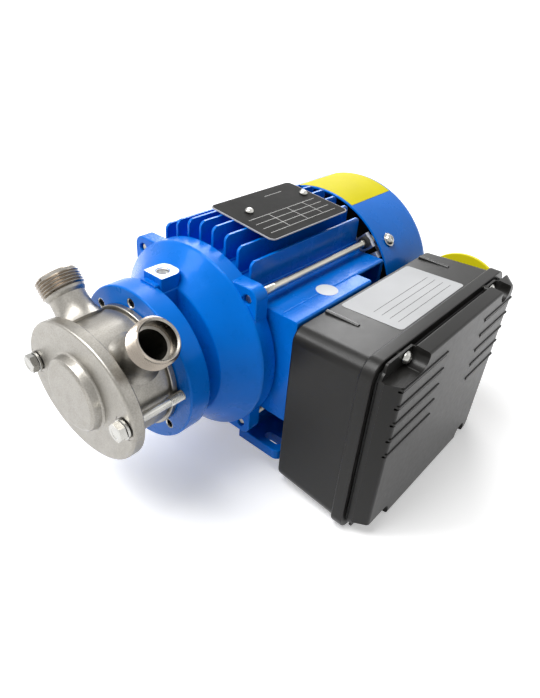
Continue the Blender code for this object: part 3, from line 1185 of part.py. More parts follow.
def build_box_lid():
    gasket_start = BOX_FACE_OUT + SEAT_GAP
    flange_start = gasket_start + GASKET + SEAT_GAP
    dome_start = flange_start + LID_FLANGE
    rim = rounded_rectangle(BOX_LEFT, BOX_RIGHT, BOX_BOTTOM, BOX_TOP, BOX_CORNER - LID_INSET)
    band = rounded_rectangle(BOX_LEFT + 2 * BOX_WALL, BOX_RIGHT - 2 * BOX_WALL, BOX_BOTTOM + 2 * BOX_WALL,
                             BOX_TOP - 2 * BOX_WALL, BOX_CORNER - 2 * BOX_WALL)
    screw_clear = [circle(2.3 * MM, TINY, x, z) for x in LID_SCREWS_X for z in LID_SCREWS_Z]
    gasket = add_part("lid_gasket", outline_mesh([rim, band], gasket_start, gasket_start + GASKET),
                      BLACK_RUBBER, TOWARDS_BOX)
    gasket_holes = [outline_mesh([loop], gasket_start - SINK, gasket_start + GASKET + SINK)
                    for loop in screw_clear]
    cut(gasket, gathered(gasket_holes), TOWARDS_BOX)
    soft = 1.4 * MM
    dome = loft_mesh([at_height(lid_section(dome_start), dome_start),
                      at_height(lid_section(LID_FACE_OUT - soft), LID_FACE_OUT - soft),
                      at_height(lid_section(LID_FACE_OUT, soft), LID_FACE_OUT)])
    lid = add_part("box_lid", dome, BLACK_PLASTIC, TOWARDS_BOX)
    join(lid, outline_mesh([rim], flange_start, dome_start + SINK), TOWARDS_BOX)
    hollow = loft_mesh([at_height(lid_section(flange_start, LID_WALL + 5.4 * MM), flange_start - SINK),
                        at_height(lid_section(LID_FACE_OUT, LID_WALL + 1 * MM), LID_FACE_OUT - LID_WALL)])
    cut(lid, hollow, TOWARDS_BOX)
    reach = LID_POCKET + LID_WALL - 0.5 * MM
    plugs = []
    for x in LID_SCREWS_X:
        for low, high in ((LID_SCREWS_Z[0] + LID_POCKET_SHIFT - reach, LID_TOP - 0.2 * MM),
                          (LID_BOTTOM + 0.2 * MM, LID_SCREWS_Z[1] - LID_POCKET_SHIFT + reach)):
            plugs.append(block_mesh((x - reach, low, flange_start), (x + reach, high, LID_FACE_OUT - 2 * soft)))
    join(lid, gathered(plugs), TOWARDS_BOX)
    floor = flange_start + 1.6 * MM
    pocket = cylinder_mesh(LID_POCKET, floor, LID_FACE_OUT + SINK, 16)
    cut(lid, gathered([moved(pocket, Matrix.Translation((x, z + math.copysign(LID_POCKET_SHIFT, z), 0)))
                       for x in LID_SCREWS_X for z in LID_SCREWS_Z]), TOWARDS_BOX)
    holes = [outline_mesh([loop], flange_start - SINK, floor + SINK) for loop in screw_clear]
    cut(lid, gathered(holes), TOWARDS_BOX)
    slots = []
    wrap = LID_FACE_OUT - 5 * MM
    for i in range(LOUVRES):
        middle = LID_TOP - LOUVRE_DROP - i * LOUVRE_PITCH
        low = middle - LOUVRE_HEIGHT / 2
        high = middle + LOUVRE_HEIGHT / 2
        slots.append(block_mesh((LID_LEFT - LID_LEFT_DRAFT, low, wrap),
                                (LID_LEFT + LEFT_LOUVRE_LENGTH, high, LID_FACE_OUT + SINK)))
        slots.append(block_mesh((LID_RIGHT - RIGHT_LOUVRE_LENGTH, low, wrap),
                                (LID_RIGHT + LID_RIGHT_DRAFT, high, LID_FACE_OUT + SINK)))
    cut(lid, gathered(slots), TOWARDS_BOX)
    seat = floor + SEAT_GAP
    tip = BOX_FACE_OUT - LID_SCREW_DEPTH
    screw = turned_mesh([(tip, 0), (tip, 1.5 * MM), (seat, 1.5 * MM),
                         (seat, 3.8 * MM), (seat + 1.4 * MM, 3.5 * MM), (seat + 2.5 * MM, 2.2 * MM),
                         (seat + 2.8 * MM, 0)], TINY)
    add_copies("lid_screw", screw, BRIGHT_STEEL,
               [facing(TOWARDS_BOX, (x, 0, z)) for x in LID_SCREWS_X for z in LID_SCREWS_Z])


def build_box_insides():
    floor = BOX_BACK_OUT + BOX_WALL + SEAT_GAP
    start = BOX_LEFT + CAPACITOR_LEFT_ROOM
    end = start + CAPACITOR_LENGTH
    can = [(start, 0), (start, CAPACITOR_RADIUS - 1.5 * MM), (start + 1.5 * MM, CAPACITOR_RADIUS),
           (end - 3 * MM, CAPACITOR_RADIUS), (end - 3 * MM, CAPACITOR_RADIUS - 2 * MM),
           (end, CAPACITOR_RADIUS - 2 * MM), (end, 0)]
    add_part("run_capacitor", turned_mesh(can, SMALL), GREY_PLASTIC, TURNED_ON_SHAFT,
             (0, -CAPACITOR_OUT, CAPACITOR_Z))
    inside = CAPACITOR_RADIUS + SEAT_GAP
    outside = inside + 2 * MM
    back = CAPACITOR_OUT - floor
    half_open = math.radians(50)
    band = arc(0, 0, outside, half_open, 2 * math.pi - half_open, 15)
    band += arc(0, 0, inside, 2 * math.pi - half_open, half_open, 15)
    clip_start = start + CAPACITOR_LENGTH / 3
    clip_end = clip_start + CLIP_WIDTH
    clip = united_mesh([outline_mesh([band], clip_start, clip_end),
                        outline_mesh([[(-back, -8 * MM), (-inside - SINK, -8 * MM), (-inside - SINK, 8 * MM),
                                       (-back, 8 * MM)]], clip_start, clip_end)])
    opening_out = Matrix(((0, 0, 1), (-1, 0, 0), (0, -1, 0)))
    add_part("capacitor_clip", clip, GREY_PLASTIC, opening_out, (0, -CAPACITOR_OUT, CAPACITOR_Z))
    left = BOX_RIGHT - TERMINAL_RIGHT_ROOM - TERMINAL_LENGTH
    top = floor + TERMINAL_HEIGHT
    half = TERMINAL_WIDTH / 2
    block = add_part("terminal_block", block_mesh((left, TERMINAL_Z - half, floor),
                                                  (left + TERMINAL_LENGTH, TERMINAL_Z + half, top)),
                     GREY_PLASTIC, TOWARDS_BOX)
    wells = []
    pitch = TERMINAL_LENGTH / 4
    for i in range(4):
        x = left + (i + 0.5) * pitch
        wells += [moved(cylinder_mesh(pitch / 3, top - 5 * MM, top + SINK, 6), Matrix.Translation((x, z, 0)))
                  for z in (TERMINAL_Z - half / 2, TERMINAL_Z + half / 2)]
    cut(block, gathered(wells), TOWARDS_BOX)


def build_switch():
    wall = BOX_RIGHT - BOX_WALL
    body_end = wall - SEAT_GAP
    out = SWITCH_OUT
    half = SWITCH_BODY / 2
    body = add_part("switch_body", block_mesh((body_end - SWITCH_BODY_DEPTH, -out - half, SWITCH_Z - half),
                                              (body_end, -out + half, SWITCH_Z + half)), BLACK_PLASTIC)
    round_edges(body, 1.5 * MM, 1)
    stem_clear = SWITCH_STEM + RUN_GAP
    cut(body, cylinder_mesh(stem_clear, body_end - 20 * MM, body_end + SINK, FINE), TURNED_ON_SHAFT,
        (0, -out, SWITCH_Z))
    boss_start = box_end_wall(out + DIAL_BOSS_RADIUS) + SEAT_GAP
    dial_start = box_end_wall(BOX_FACE_OUT) + BOX_LIP + SEAT_GAP
    dial_end = dial_start + DIAL_THICKNESS
    bore = stem_clear + 0.6 * MM
    profile = [(boss_start, bore), (boss_start, DIAL_BOSS_RADIUS), (dial_start, DIAL_BOSS_RADIUS),
               (dial_start, DIAL_RADIUS), (dial_end, DIAL_RADIUS), (dial_end, bore)]
    add_part("switch_dial", turned_mesh(profile, LARGE), YELLOW_PLASTIC, TURNED_ON_SHAFT, (0, -out, SWITCH_Z))
    knob_start = dial_end + RUN_GAP
    knob_end = knob_start + KNOB_HEIGHT
    skirt = [(knob_start, 0), (knob_start, KNOB_RADIUS), (knob_start + 3 * MM, KNOB_RADIUS),
             (knob_start + 3.8 * MM, KNOB_RADIUS - 0.8 * MM), (knob_start + 3.8 * MM, 0)]
    knob = add_part("switch_knob", turned_mesh(skirt, SMALL), RED_PLASTIC, TURNED_ON_SHAFT, parent=KNOB)
    grip = rounded_rectangle(-3.6 * MM, 3.6 * MM, -KNOB_RADIUS + 0.6 * MM, KNOB_RADIUS - 0.6 * MM, 3.2 * MM)
    join(knob, outline_mesh([grip], knob_start + 1 * MM, knob_end), ALONG_SHAFT)
    join(knob, cylinder_mesh(SWITCH_STEM, body_end - 18 * MM, knob_start + SINK, FINE), TURNED_ON_SHAFT)


def build_gland():
    place = (0, -SWITCH_OUT, GLAND_Z)
    outer_face = box_end_wall(SWITCH_OUT + GLAND_HEX / math.sqrt(3))
    inner_face = BOX_RIGHT - BOX_WALL
    hex_start = outer_face + SEAT_GAP
    thread_end = hex_start + 14 * MM
    collar = united_mesh([hex_mesh(GLAND_HEX, hex_start, hex_start + 5 * MM),
                          cylinder_mesh(GLAND_THREAD - 0.3 * MM, inner_face - 9 * MM, thread_end, SMALL)])
    gland = add_part("cable_gland", collar, BLACK_PLASTIC, TURNED_ON_SHAFT, place)
    cut(gland, cylinder_mesh(CABLE_BORE, inner_face - 12 * MM, thread_end + SINK, FINE), TURNED_ON_SHAFT, place)
    cap_start = hex_start + 5 * MM + SEAT_GAP
    inner = GLAND_THREAD
    profile = [(cap_start, inner), (cap_start, 11.8 * MM), (cap_start + 9 * MM, 11.8 * MM),
               (cap_start + 13 * MM, 8.5 * MM), (cap_start + 14 * MM, 6.5 * MM),
               (cap_start + 14 * MM, CABLE_BORE), (cap_start + 10.5 * MM, CABLE_BORE),
               (cap_start + 10.5 * MM, inner)]
    add_part("gland_cap", turned_mesh(profile, SMALL), BLACK_PLASTIC, TURNED_ON_SHAFT, place)
    nut_face = inner_face - SEAT_GAP
    nut = add_part("gland_locknut", hex_mesh(GLAND_HEX, nut_face - 4.5 * MM, nut_face), BLACK_PLASTIC,
                   TURNED_ON_SHAFT, place)
    cut(nut, cylinder_mesh(GLAND_THREAD, inner_face - 8 * MM, inner_face + SINK, SMALL), TURNED_ON_SHAFT, place)


def set_down():
    """Move the stand so that the middle of the pump's base is at the world origin."""
    bpy.context.view_layer.update()
    depsgraph = bpy.context.evaluated_depsgraph_get()
    low = Vector((math.inf,) * 3)
    high = Vector((-math.inf,) * 3)
    for obj in PARTS.objects:
        if obj.type != "MESH":
            continue
        shape = obj.evaluated_get(depsgraph)
        for vertex in shape.data.vertices:
            place = shape.matrix_world @ vertex.co
            low = Vector(map(min, low, place))
            high = Vector(map(max, high, place))
    STAND.location = (-(low.x + high.x) / 2, -(low.y + high.y) / 2, -low.z)
    bpy.context.view_layer.update()


def main():
    build_cover()
    build_cover_fasteners()
    build_pump_body()
    key_start, key_base = build_impeller()
    build_seal()
    build_end_bell()
    build_motor_frame()
    build_shaft(key_start, key_base)
    build_motor_insides()
    build_bearing("front", FRONT_BEARING)
    build_bearing("rear", REAR_BEARING)
    build_rear_shield()
    build_tie_rods()
    build_fan()
    build_cowl()
    build_nameplate()
    build_box_base()
    build_box_lid()
    build_box_insides()
    build_switch()
    build_gland()
    set_down()


main()
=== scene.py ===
"""Dressed model of a flexible impeller pump on a small foot-mounted motor with a side switch box.

Sizes in the code are in millimetres from the shaft line: X runs from the pump cover to the fan cowl
and is zero where the end bell meets the motor frame, Z is up, and the switch box is on -Y.
"""
import json
import math

import bmesh
import bpy
from mathutils import Matrix, Vector


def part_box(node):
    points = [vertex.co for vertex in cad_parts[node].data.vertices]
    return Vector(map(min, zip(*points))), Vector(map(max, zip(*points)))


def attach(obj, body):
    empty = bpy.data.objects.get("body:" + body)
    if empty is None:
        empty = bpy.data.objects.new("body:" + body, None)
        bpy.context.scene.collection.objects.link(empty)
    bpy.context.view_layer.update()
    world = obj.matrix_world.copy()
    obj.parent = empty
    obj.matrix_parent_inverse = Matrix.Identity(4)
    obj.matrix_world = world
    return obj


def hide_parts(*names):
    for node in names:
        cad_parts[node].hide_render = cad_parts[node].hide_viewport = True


bl_info = {
    "name": "Flexible impeller pump",
    "version": (1, 0, 0),
    "blender": (4, 5, 0),
    "location": "View3D > Sidebar > Pump",
    "description": "Adds the visible pieces of a flexible impeller pump and its studio",
    "category": "Add Mesh",
}

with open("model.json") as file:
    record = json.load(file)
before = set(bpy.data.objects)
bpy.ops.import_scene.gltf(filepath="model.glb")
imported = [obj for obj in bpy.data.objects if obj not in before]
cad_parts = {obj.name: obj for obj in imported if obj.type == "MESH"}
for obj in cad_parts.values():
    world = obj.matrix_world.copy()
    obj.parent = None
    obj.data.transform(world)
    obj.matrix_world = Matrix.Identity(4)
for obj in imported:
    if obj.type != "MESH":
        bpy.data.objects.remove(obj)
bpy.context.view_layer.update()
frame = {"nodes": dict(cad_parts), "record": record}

MM = 0.001
ALONG_SHAFT = Matrix(((0, 0, 1, 0), (1, 0, 0, 0), (0, 1, 0, 0), (0, 0, 0, 1)))
TOWARDS_BOX = Matrix(((1, 0, 0, 0), (0, 0, -1, 0), (0, 1, 0, 0), (0, 0, 0, 1)))
UPRIGHT = Matrix.Identity(4)

COVER_BACK = -86.3
PORT_STATION = -72.5
TOP_HOLE_STATION = -31.8
PLATE_SCREWS = (35.5, 90)
PLATE_SCREW_Y = -3.6
PLATE_MIDDLE_Y = -11
PLATE_ROLL = math.radians(5.6)
SECOND_FIN_Y = -5.2
FIN_DROOP = 0.0012
FOOT_SLOTS = (9.5, 99.5)
FOOT_SLOT_Y = 59.5
COWL_SCREW_STATION = 129.5
COWL_SCREW_ANGLES = (-50, 50, 130, 230)
BOX_LEFT, BOX_RIGHT, BOX_LOW, BOX_HIGH = -2.6, 159.2, -81.0, 36.3
BOX_SPREAD = 4.8
LID_SCREWS = [(x, z) for x in (20.0, 131.0) for z in (36.4, -79.0)]
LOUVRES, FIRST_LOUVRE = 5, 28.6
SWITCH_OUT, SWITCH_HIGH, GLAND_HIGH = 102.0, 7.5, -48.0
STICKER_START, STICKER_END = 118.6, 169.5
STICKER_SWEEP, STICKER_TURN = math.radians(41), math.radians(22)

CAMERA_PLACE = (-216.4, -227.7, 201.0)
CAMERA_FORWARD = (0.6492, 0.5113, -0.5632)
CAMERA_RIGHT = (0.6542, -0.7530, 0.0704)
CAMERA_LENS = 28.94
LAMP_AIM = (0, 0, 0.08)
GLOW_NEAR, GLOW_FAR = 0.25, 1.1


def shaft_origin():
    """Where the shaft line meets the front of the motor frame, in the row frame."""
    low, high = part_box("motor_shaft")
    return Vector((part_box("motor_frame")[0][0], (low[1] + high[1]) / 2, (low[2] + high[2]) / 2))


ORIGIN = shaft_origin()


def length(name, description, default):
    """A length property, given in millimetres."""
    return bpy.props.FloatProperty(name=name, description=description, default=default * MM, min=0.0,
                                   unit="LENGTH")


def colour(name, description, default):
    """A colour property."""
    return bpy.props.FloatVectorProperty(name=name, description=description, default=default, size=3,
                                         min=0.0, max=1.0, subtype="COLOR")


class PumpHeadSizes(bpy.types.PropertyGroup):
    """Sizes of the pump cover, body and ports."""
    cover_half_width: length("Cover half width", "Half the cover across its two bolts", 48.8)
    cover_half_height: length("Cover half height", "Half the cover from top to bottom", 39.8)
    cover_thickness: length("Cover thickness", "Thickness of the cover plate", 7.7)
    boss_radius: length("Boss radius", "Radius of the round boss on the cover", 22.3)
    boss_height: length("Boss height", "How far the boss stands out from the cover", 6.0)
    bolt_offset: length("Bolt offset", "Distance of each cover bolt from the shaft", 41.0)
    body_radius: length("Body radius", "Outside radius of the pump body", 36.4)
    ring_radius: length("Ring radius", "Radius of the polished ring at the back of the body", 38.2)
    port_length: length("Port length", "Distance of each port mouth from the shaft", 65.5)
    port_tube: length("Port tube", "Outside radius of the port tube", 10.8)
    port_bore: length("Port bore", "Inside radius of the port tube", 8.8)
    thread_crest: length("Thread crest", "Radius over the crests of the port thread", 13.1)
    thread_pitch: length("Thread pitch", "Pitch of the port thread", 1.814)
    port_angle: bpy.props.FloatProperty(name="Port angle", description="Lean of each port from upright",
                                        default=math.radians(44), subtype="ANGLE")


class MotorSizes(bpy.types.PropertyGroup):
    """Sizes of the end bell, the finned frame and the fan cowl."""
    disc_radius: length("Disc radius", "Radius of the pump flange disc", 49.0)
    bell_nose: length("Bell nose", "Radius of the small end of the bell", 46.0)
    bell_rim: length("Bell rim", "Radius of the large end of the bell", 62.8)
    ear_reach: length("Ear reach", "Half the square of the four ears", 53.0)
    rod_offset: length("Rod offset", "Offset of each tie rod from the shaft, both ways", 45.5)
    frame_radius: length("Frame radius", "Outside radius of the motor frame", 57.0)
    frame_length: length("Frame length", "Length of the motor frame", 113.0)
    fin_reach: length("Fin reach", "Radius that the middle fin tips reach", 72.8)
    fin_pitch: length("Fin pitch", "Spacing of the cooling fins", 10.4)
    fin_thickness: length("Fin thickness", "Thickness of a cooling fin", 2.0)
    foot_reach: length("Foot reach", "Half the width over the feet", 71.0)
    cowl_radius: length("Cowl radius", "Outside radius of the fan cowl", 70.2)
    plate_length: length("Plate length", "Length of the rating plate", 77.0)
    plate_width: length("Plate width", "Width of the rating plate", 53.0)


class BoxSizes(bpy.types.PropertyGroup):
    """Sizes of the switch box, measured outwards from the shaft."""
    back: length("Back", "Distance of the back of the box from the shaft", 74.0)
    face: length("Face", "Distance of the lid joint from the shaft", 129.0)
    lid_face: length("Lid face", "Distance of the lid's face from the shaft", 143.0)
    corner: length("Corner", "Radius of the box corners", 9.0)
    louvre_pitch: length("Louvre pitch", "Spacing of the lid louvres", 11.4)
    dial_radius: length("Dial radius", "Radius of the switch dial", 31.8)
    knob_radius: length("Knob radius", "Radius of the switch knob", 12.0)


class Finishes(bpy.types.PropertyGroup):
    """Colours of the finishes."""
    blue: colour("Blue paint", "Gloss paint on the motor", (0.0, 0.16, 0.66))
    stainless: colour("Cast stainless", "Bead blasted pump castings", (0.315, 0.30, 0.272))
    machined: colour("Machined stainless", "Turned port mouths and threads", (0.34, 0.30, 0.255))
    bright: colour("Bright steel", "Bolts, screws and bearings", (0.48, 0.475, 0.45))
    zinc: colour("Zinc plate", "Plated tie rods", (0.46, 0.445, 0.39))
    casting: colour("Silver casting", "Bare aluminium castings", (0.52, 0.53, 0.54))
    black_plastic: colour("Black plastic", "Switch box, lid and gland", (0.0125, 0.0120, 0.0112))
    yellow: colour("Yellow", "Switch dial and cowl sticker", (0.84, 0.74, 0.01))
    red: colour("Red", "Switch knob", (0.60, 0.02, 0.015))


class StudioSettings(bpy.types.PropertyGroup):
    """Light levels and colours of the studio."""
    sky: bpy.props.FloatProperty(name="Sky", description="Strength of the soft light from all round",
                                 default=0.12, min=0.0)
    key: bpy.props.FloatProperty(name="Key light", description="Power of the large lamp overhead",
                                 default=26.0, min=0.0, unit="POWER")
    fill: bpy.props.FloatProperty(name="Fill light", description="Power of the lamp over the box",
                                  default=2.5, min=0.0, unit="POWER")
    window: bpy.props.FloatProperty(name="Window light", description="Power of the small lamps behind",
                                    default=8.0, min=0.0, unit="POWER")
    floor: colour("Floor", "Pale studio floor", (0.86, 0.86, 0.86))


# Modelling steps

def rest():
    """Leave edit mode and deselect everything."""
    if bpy.context.mode != "OBJECT":
        bpy.ops.object.mode_set(mode="OBJECT")
    bpy.ops.object.select_all(action="DESELECT")


def take(obj):
    """Select one object alone and make it active."""
    rest()
    obj.select_set(True)
    bpy.context.view_layer.objects.active = obj


def place(obj, matrix):
    """Move the object by a matrix and keep its place in its mesh."""
    take(obj)
    obj.matrix_world = matrix @ obj.matrix_world
    bpy.ops.object.transform_apply(location=True, rotation=True, scale=True)
    return obj


def at(x, y, z):
    """A shift in millimetres."""
    return Matrix.Translation((x * MM, y * MM, z * MM))


def arc(along, radius, size, start, end, count=5):
    """Points of a quarter round or other arc, in a profile of (along, radius)."""
    turns = [math.radians(start + (end - start) * i / count) for i in range(count + 1)]
    return [(along + size * math.cos(turn), radius + size * math.sin(turn)) for turn in turns]


def turned(profile, sides=64, matrix=ALONG_SHAFT, closed=False):
    """A lathe shape: a circle at the first point, extruded and scaled ring by ring along local Z."""
    rest()
    along, radius = profile[0]
    bpy.ops.mesh.primitive_circle_add(vertices=sides, radius=radius * MM, location=(0, 0, along * MM),
                                      fill_type="NOTHING" if closed else "NGON")
    obj = bpy.context.object
    bpy.ops.object.transform_apply(location=True, rotation=True, scale=True)
    bpy.ops.object.mode_set(mode="EDIT")
    bpy.ops.mesh.select_mode(type="VERT")
    bpy.ops.mesh.select_all(action="SELECT")
    for next_along, next_radius in profile[1:] + ([profile[0]] if closed else []):
        bpy.ops.mesh.extrude_region_move(
            TRANSFORM_OT_translate={"value": (0, 0, (next_along - along) * MM)})
        if next_radius != radius:
            ratio = next_radius / radius
            bpy.ops.transform.resize(value=(ratio, ratio, 1), center_override=(0, 0, next_along * MM))
        along, radius = next_along, next_radius
    bpy.ops.mesh.select_all(action="SELECT")
    if closed:
        bpy.ops.mesh.remove_doubles(threshold=0.001 * MM)
    bpy.ops.mesh.normals_make_consistent(inside=False)
    bpy.ops.object.mode_set(mode="OBJECT")
    return place(obj, matrix)


def block(low, high):
    """A cube set to two corners, given in millimetres."""
    rest()
    bpy.ops.mesh.primitive_cube_add(size=1)
    obj = bpy.context.object
    obj.location = [(a + b) / 2 * MM for a, b in zip(low, high)]
    obj.scale = [(b - a) * MM for a, b in zip(low, high)]
    bpy.ops.object.transform_apply(location=True, rotation=True, scale=True)
    return obj


def pick(obj, kind, test):
    """Edit mode, with only the faces or edges selected that pass the test."""
    take(obj)
    bpy.ops.object.mode_set(mode="EDIT")
    bpy.ops.mesh.select_mode(type=kind)
    bpy.ops.mesh.select_all(action="DESELECT")
    mesh = bmesh.from_edit_mesh(obj.data)
    for item in (mesh.faces if kind == "FACE" else mesh.edges):
        if test(item):
            item.select_set(True)
    bmesh.update_edit_mesh(obj.data)


def runs(axis):
    """Passes edges that run nearly along an axis."""
    def test(edge):
        way = (edge.verts[1].co - edge.verts[0].co).normalized()
        return abs(way[axis]) > 0.9
    return test


def lies(axis, value):
    """Passes faces or edges that lie at one coordinate, in millimetres."""
    def test(item):
        return all(abs(corner.co[axis] - value * MM) < 0.02 * MM for corner in item.verts)
    return test


def bevel(obj, test, width, segments=4):
    """Round the edges that pass the test."""
    pick(obj, "EDGE", test)
    bpy.ops.mesh.bevel(offset=width * MM, segments=segments, affect="EDGES")
    rest()
    return obj


def resize_face(obj, test, scale, middle, shift=(0, 0, 0)):
    """Scale and shift the faces that pass the test, about a point in millimetres."""
    pick(obj, "FACE", test)
    bpy.ops.transform.resize(value=scale, center_override=[value * MM for value in middle])
    bpy.ops.transform.translate(value=[value * MM for value in shift])
    rest()
    return obj


def rounded_block(low, high, axis, radius, segments=6, ends=0.0):
    """A block with its edges along one axis rounded, and a smaller round on its end faces."""
    obj = block(low, high)
    bevel(obj, runs(axis), radius, segments)
    if ends:
        for value in (low[axis], high[axis]):
            bevel(obj, lies(axis, value), ends, 2)
    return obj


def cut(obj, tool, kind="DIFFERENCE"):
    """Cut or join a tool with a Boolean, and remove the tool."""
    take(obj)
    step = obj.modifiers.new("cut", "BOOLEAN")
    step.operation = kind
    step.solver = "EXACT"
    step.object = tool
    bpy.ops.object.modifier_apply(modifier=step.name)
    discard(tool)
    if not obj.data.polygons:
        raise RuntimeError(f"nothing is left of {obj.name} after a cut")
    bpy.ops.object.mode_set(mode="EDIT")
    bpy.ops.mesh.select_mode(type="VERT")
    bpy.ops.mesh.select_all(action="SELECT")
    bpy.ops.mesh.remove_doubles(threshold=0.004 * MM)
    bpy.ops.mesh.dissolve_degenerate(threshold=0.002 * MM)
    rest()
    return obj


def join(obj, tool):
    return cut(obj, tool, "UNION")


def discard(*objects):
    """Remove shapes that were only patterns for copies."""
    for obj in objects:
        bpy.data.objects.remove(obj, do_unlink=True)


def gather(objects):
    """Several closed shapes as one object."""
    rest()
    for obj in objects:
        obj.select_set(True)
    bpy.context.view_layer.objects.active = objects[0]
    if len(objects) > 1:
        bpy.ops.object.join()
    return objects[0]


def twin(obj, matrix=UPRIGHT):
    """A copy with its own mesh, moved by a matrix."""
    copy = obj.copy()
    copy.data = obj.data.copy()
    bpy.context.scene.collection.objects.link(copy)
    return place(copy, matrix)


def soften(obj, width, segments=2, angle=40):
    """A small round on every sharp edge."""
    take(obj)
    step = obj.modifiers.new("soften", "BEVEL")
    step.width = width * MM
    step.segments = segments
    step.limit_method = "ANGLE"
    step.angle_limit = math.radians(angle)
    step.miter_outer = "MITER_ARC"
    bpy.ops.object.modifier_apply(modifier=step.name)
    return obj


def smooth(obj, angle=35):
    """Smooth shading up to an angle, with flat faces kept flat by weighted normals."""
    take(obj)
    bpy.ops.object.shade_smooth_by_angle(angle=math.radians(angle))
    step = obj.modifiers.new("weigh", "WEIGHTED_NORMAL")
    step.keep_sharp = True
    bpy.ops.object.modifier_apply(modifier=step.name)
    return obj


def helix(root, crest, pitch, start, end, matrix, steps=48):
    """A closed thread ridge: a small triangle swept round by a Screw modifier."""
    rest()
    turns = (end - start - pitch) / pitch
    bpy.ops.mesh.primitive_circle_add(vertices=3, radius=pitch * MM / 2, fill_type="NOTHING")
    ridge = bpy.context.object
    half = pitch * 0.46
    corners = ((root - 0.15, start), (root - 0.15, start + 2 * half), (crest, start + half))
    for vertex, (radius, along) in zip(ridge.data.vertices, corners):
        vertex.co = (radius * MM, 0, along * MM)
    step = ridge.modifiers.new("thread", "SCREW")
    step.axis = "Z"
    step.angle = 2 * math.pi * turns
    step.screw_offset = pitch * turns * MM
    step.steps = int(steps * turns)
    step.render_steps = int(steps * turns)
    step.use_smooth_shade = False
    bpy.ops.object.modifier_apply(modifier=step.name)
    pick(ridge, "EDGE", lambda edge: edge.is_boundary)
    bpy.ops.mesh.fill_holes(sides=4)
    bpy.ops.mesh.select_all(action="SELECT")
    bpy.ops.mesh.normals_make_consistent(inside=False)
    rest()
    return place(ridge, matrix)


def around(count, first=0.0):
    return [first + 2 * math.pi * i / count for i in range(count)]


def turn(angle):
    """A turn about the shaft, in radians."""
    return Matrix.Rotation(angle, 4, "X")


def on_circle(radius, angle, along=0.0):
    """A place seen along the shaft, counted from the top towards +Y."""
    return at(along, radius * math.sin(angle), radius * math.cos(angle))


def corners(offset):
    return [(y * offset, z * offset) for y in (-1, 1) for z in (-1, 1)]


def refined(node, width, segments=2, angle=30):
    """A copy of a CAD node with its doubles merged and its edges rounded."""
    source = frame["nodes"][node]
    copy = source.copy()
    copy.data = source.data.copy()
    copy.parent = None
    copy.modifiers.clear()
    bpy.context.scene.collection.objects.link(copy)
    copy.matrix_world = Matrix.Identity(4)
    take(copy)
    bpy.ops.object.mode_set(mode="EDIT")
    bpy.ops.mesh.select_all(action="SELECT")
    bpy.ops.mesh.remove_doubles(threshold=0.002 * MM)
    bpy.ops.mesh.dissolve_limited(angle_limit=math.radians(2))
    rest()
    soften(copy, width, segments, angle)
    return smooth(copy, 30)


def dress(obj, name, material, body="housing", stands_for=(), moved=True):
    """Give a finished piece its name, place, material by name, slot and body."""
    if moved:
        place(obj, Matrix.Translation(ORIGIN))
    obj.name = name
    obj.data.name = name
    obj.data.materials.clear()
    obj.data.materials.append(MATERIALS[material])
    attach(obj, body)
    if stands_for:
        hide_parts(*stands_for)
    rest()
    return obj


# Materials

MATERIALS = {}


def new_material(name, base, roughness, metallic=0.0):
    """A Principled material with its constant values on the shader's own sockets."""
    material = bpy.data.materials.new(name)
    material.use_nodes = True
    shader = material.node_tree.nodes["Principled BSDF"]
    shader.inputs["Base Color"].default_value = (*base, 1)
    shader.inputs["Roughness"].default_value = roughness
    shader.inputs["Metallic"].default_value = metallic
    MATERIALS[name] = material
    return material, shader


def noise(material, scale, detail=4.0, stretch=(1, 1, 1), distortion=0.0):
    """Noise on Object coordinates, with its features in parts per metre."""
    nodes = material.node_tree.nodes
    links = material.node_tree.links
    place_node = nodes.new("ShaderNodeTexCoord")
    mapping = nodes.new("ShaderNodeMapping")
    mapping.inputs["Scale"].default_value = stretch
    texture = nodes.new("ShaderNodeTexNoise")
    texture.inputs["Scale"].default_value = scale
    texture.inputs["Detail"].default_value = detail
    texture.inputs["Distortion"].default_value = distortion
    links.new(place_node.outputs["Object"], mapping.inputs["Vector"])
    links.new(mapping.outputs["Vector"], texture.inputs["Vector"])
    return texture.outputs["Fac"]


def stripes(material, scale, direction="X", distortion=0.0):
    """Fine parallel bands on Object coordinates."""
    nodes = material.node_tree.nodes
    place_node = nodes.new("ShaderNodeTexCoord")
    texture = nodes.new("ShaderNodeTexWave")
    texture.bands_direction = direction
    texture.inputs["Scale"].default_value = scale
    texture.inputs["Distortion"].default_value = distortion
    material.node_tree.links.new(place_node.outputs["Object"], texture.inputs["Vector"])
    return texture.outputs["Fac"]


def tint(material, shader, pattern, dark, light, low=0.3, high=0.7):
    """Colour that drifts between two tones with a pattern."""
    ramp = material.node_tree.nodes.new("ShaderNodeValToRGB")
    ramp.color_ramp.elements[0].position = low
    ramp.color_ramp.elements[0].color = (*dark, 1)
    ramp.color_ramp.elements[1].position = high
    ramp.color_ramp.elements[1].color = (*light, 1)
    material.node_tree.links.new(pattern, ramp.inputs["Fac"])
    material.node_tree.links.new(ramp.outputs["Color"], shader.inputs["Base Color"])


def polish(material, shader, pattern, low, high):
    """Roughness that drifts with a pattern."""
    scale = material.node_tree.nodes.new("ShaderNodeMapRange")
    scale.inputs["From Min"].default_value = 0.3
    scale.inputs["From Max"].default_value = 0.7
    scale.inputs["To Min"].default_value = low
    scale.inputs["To Max"].default_value = high
    material.node_tree.links.new(pattern, scale.inputs["Value"])
    material.node_tree.links.new(scale.outputs["Result"], shader.inputs["Roughness"])


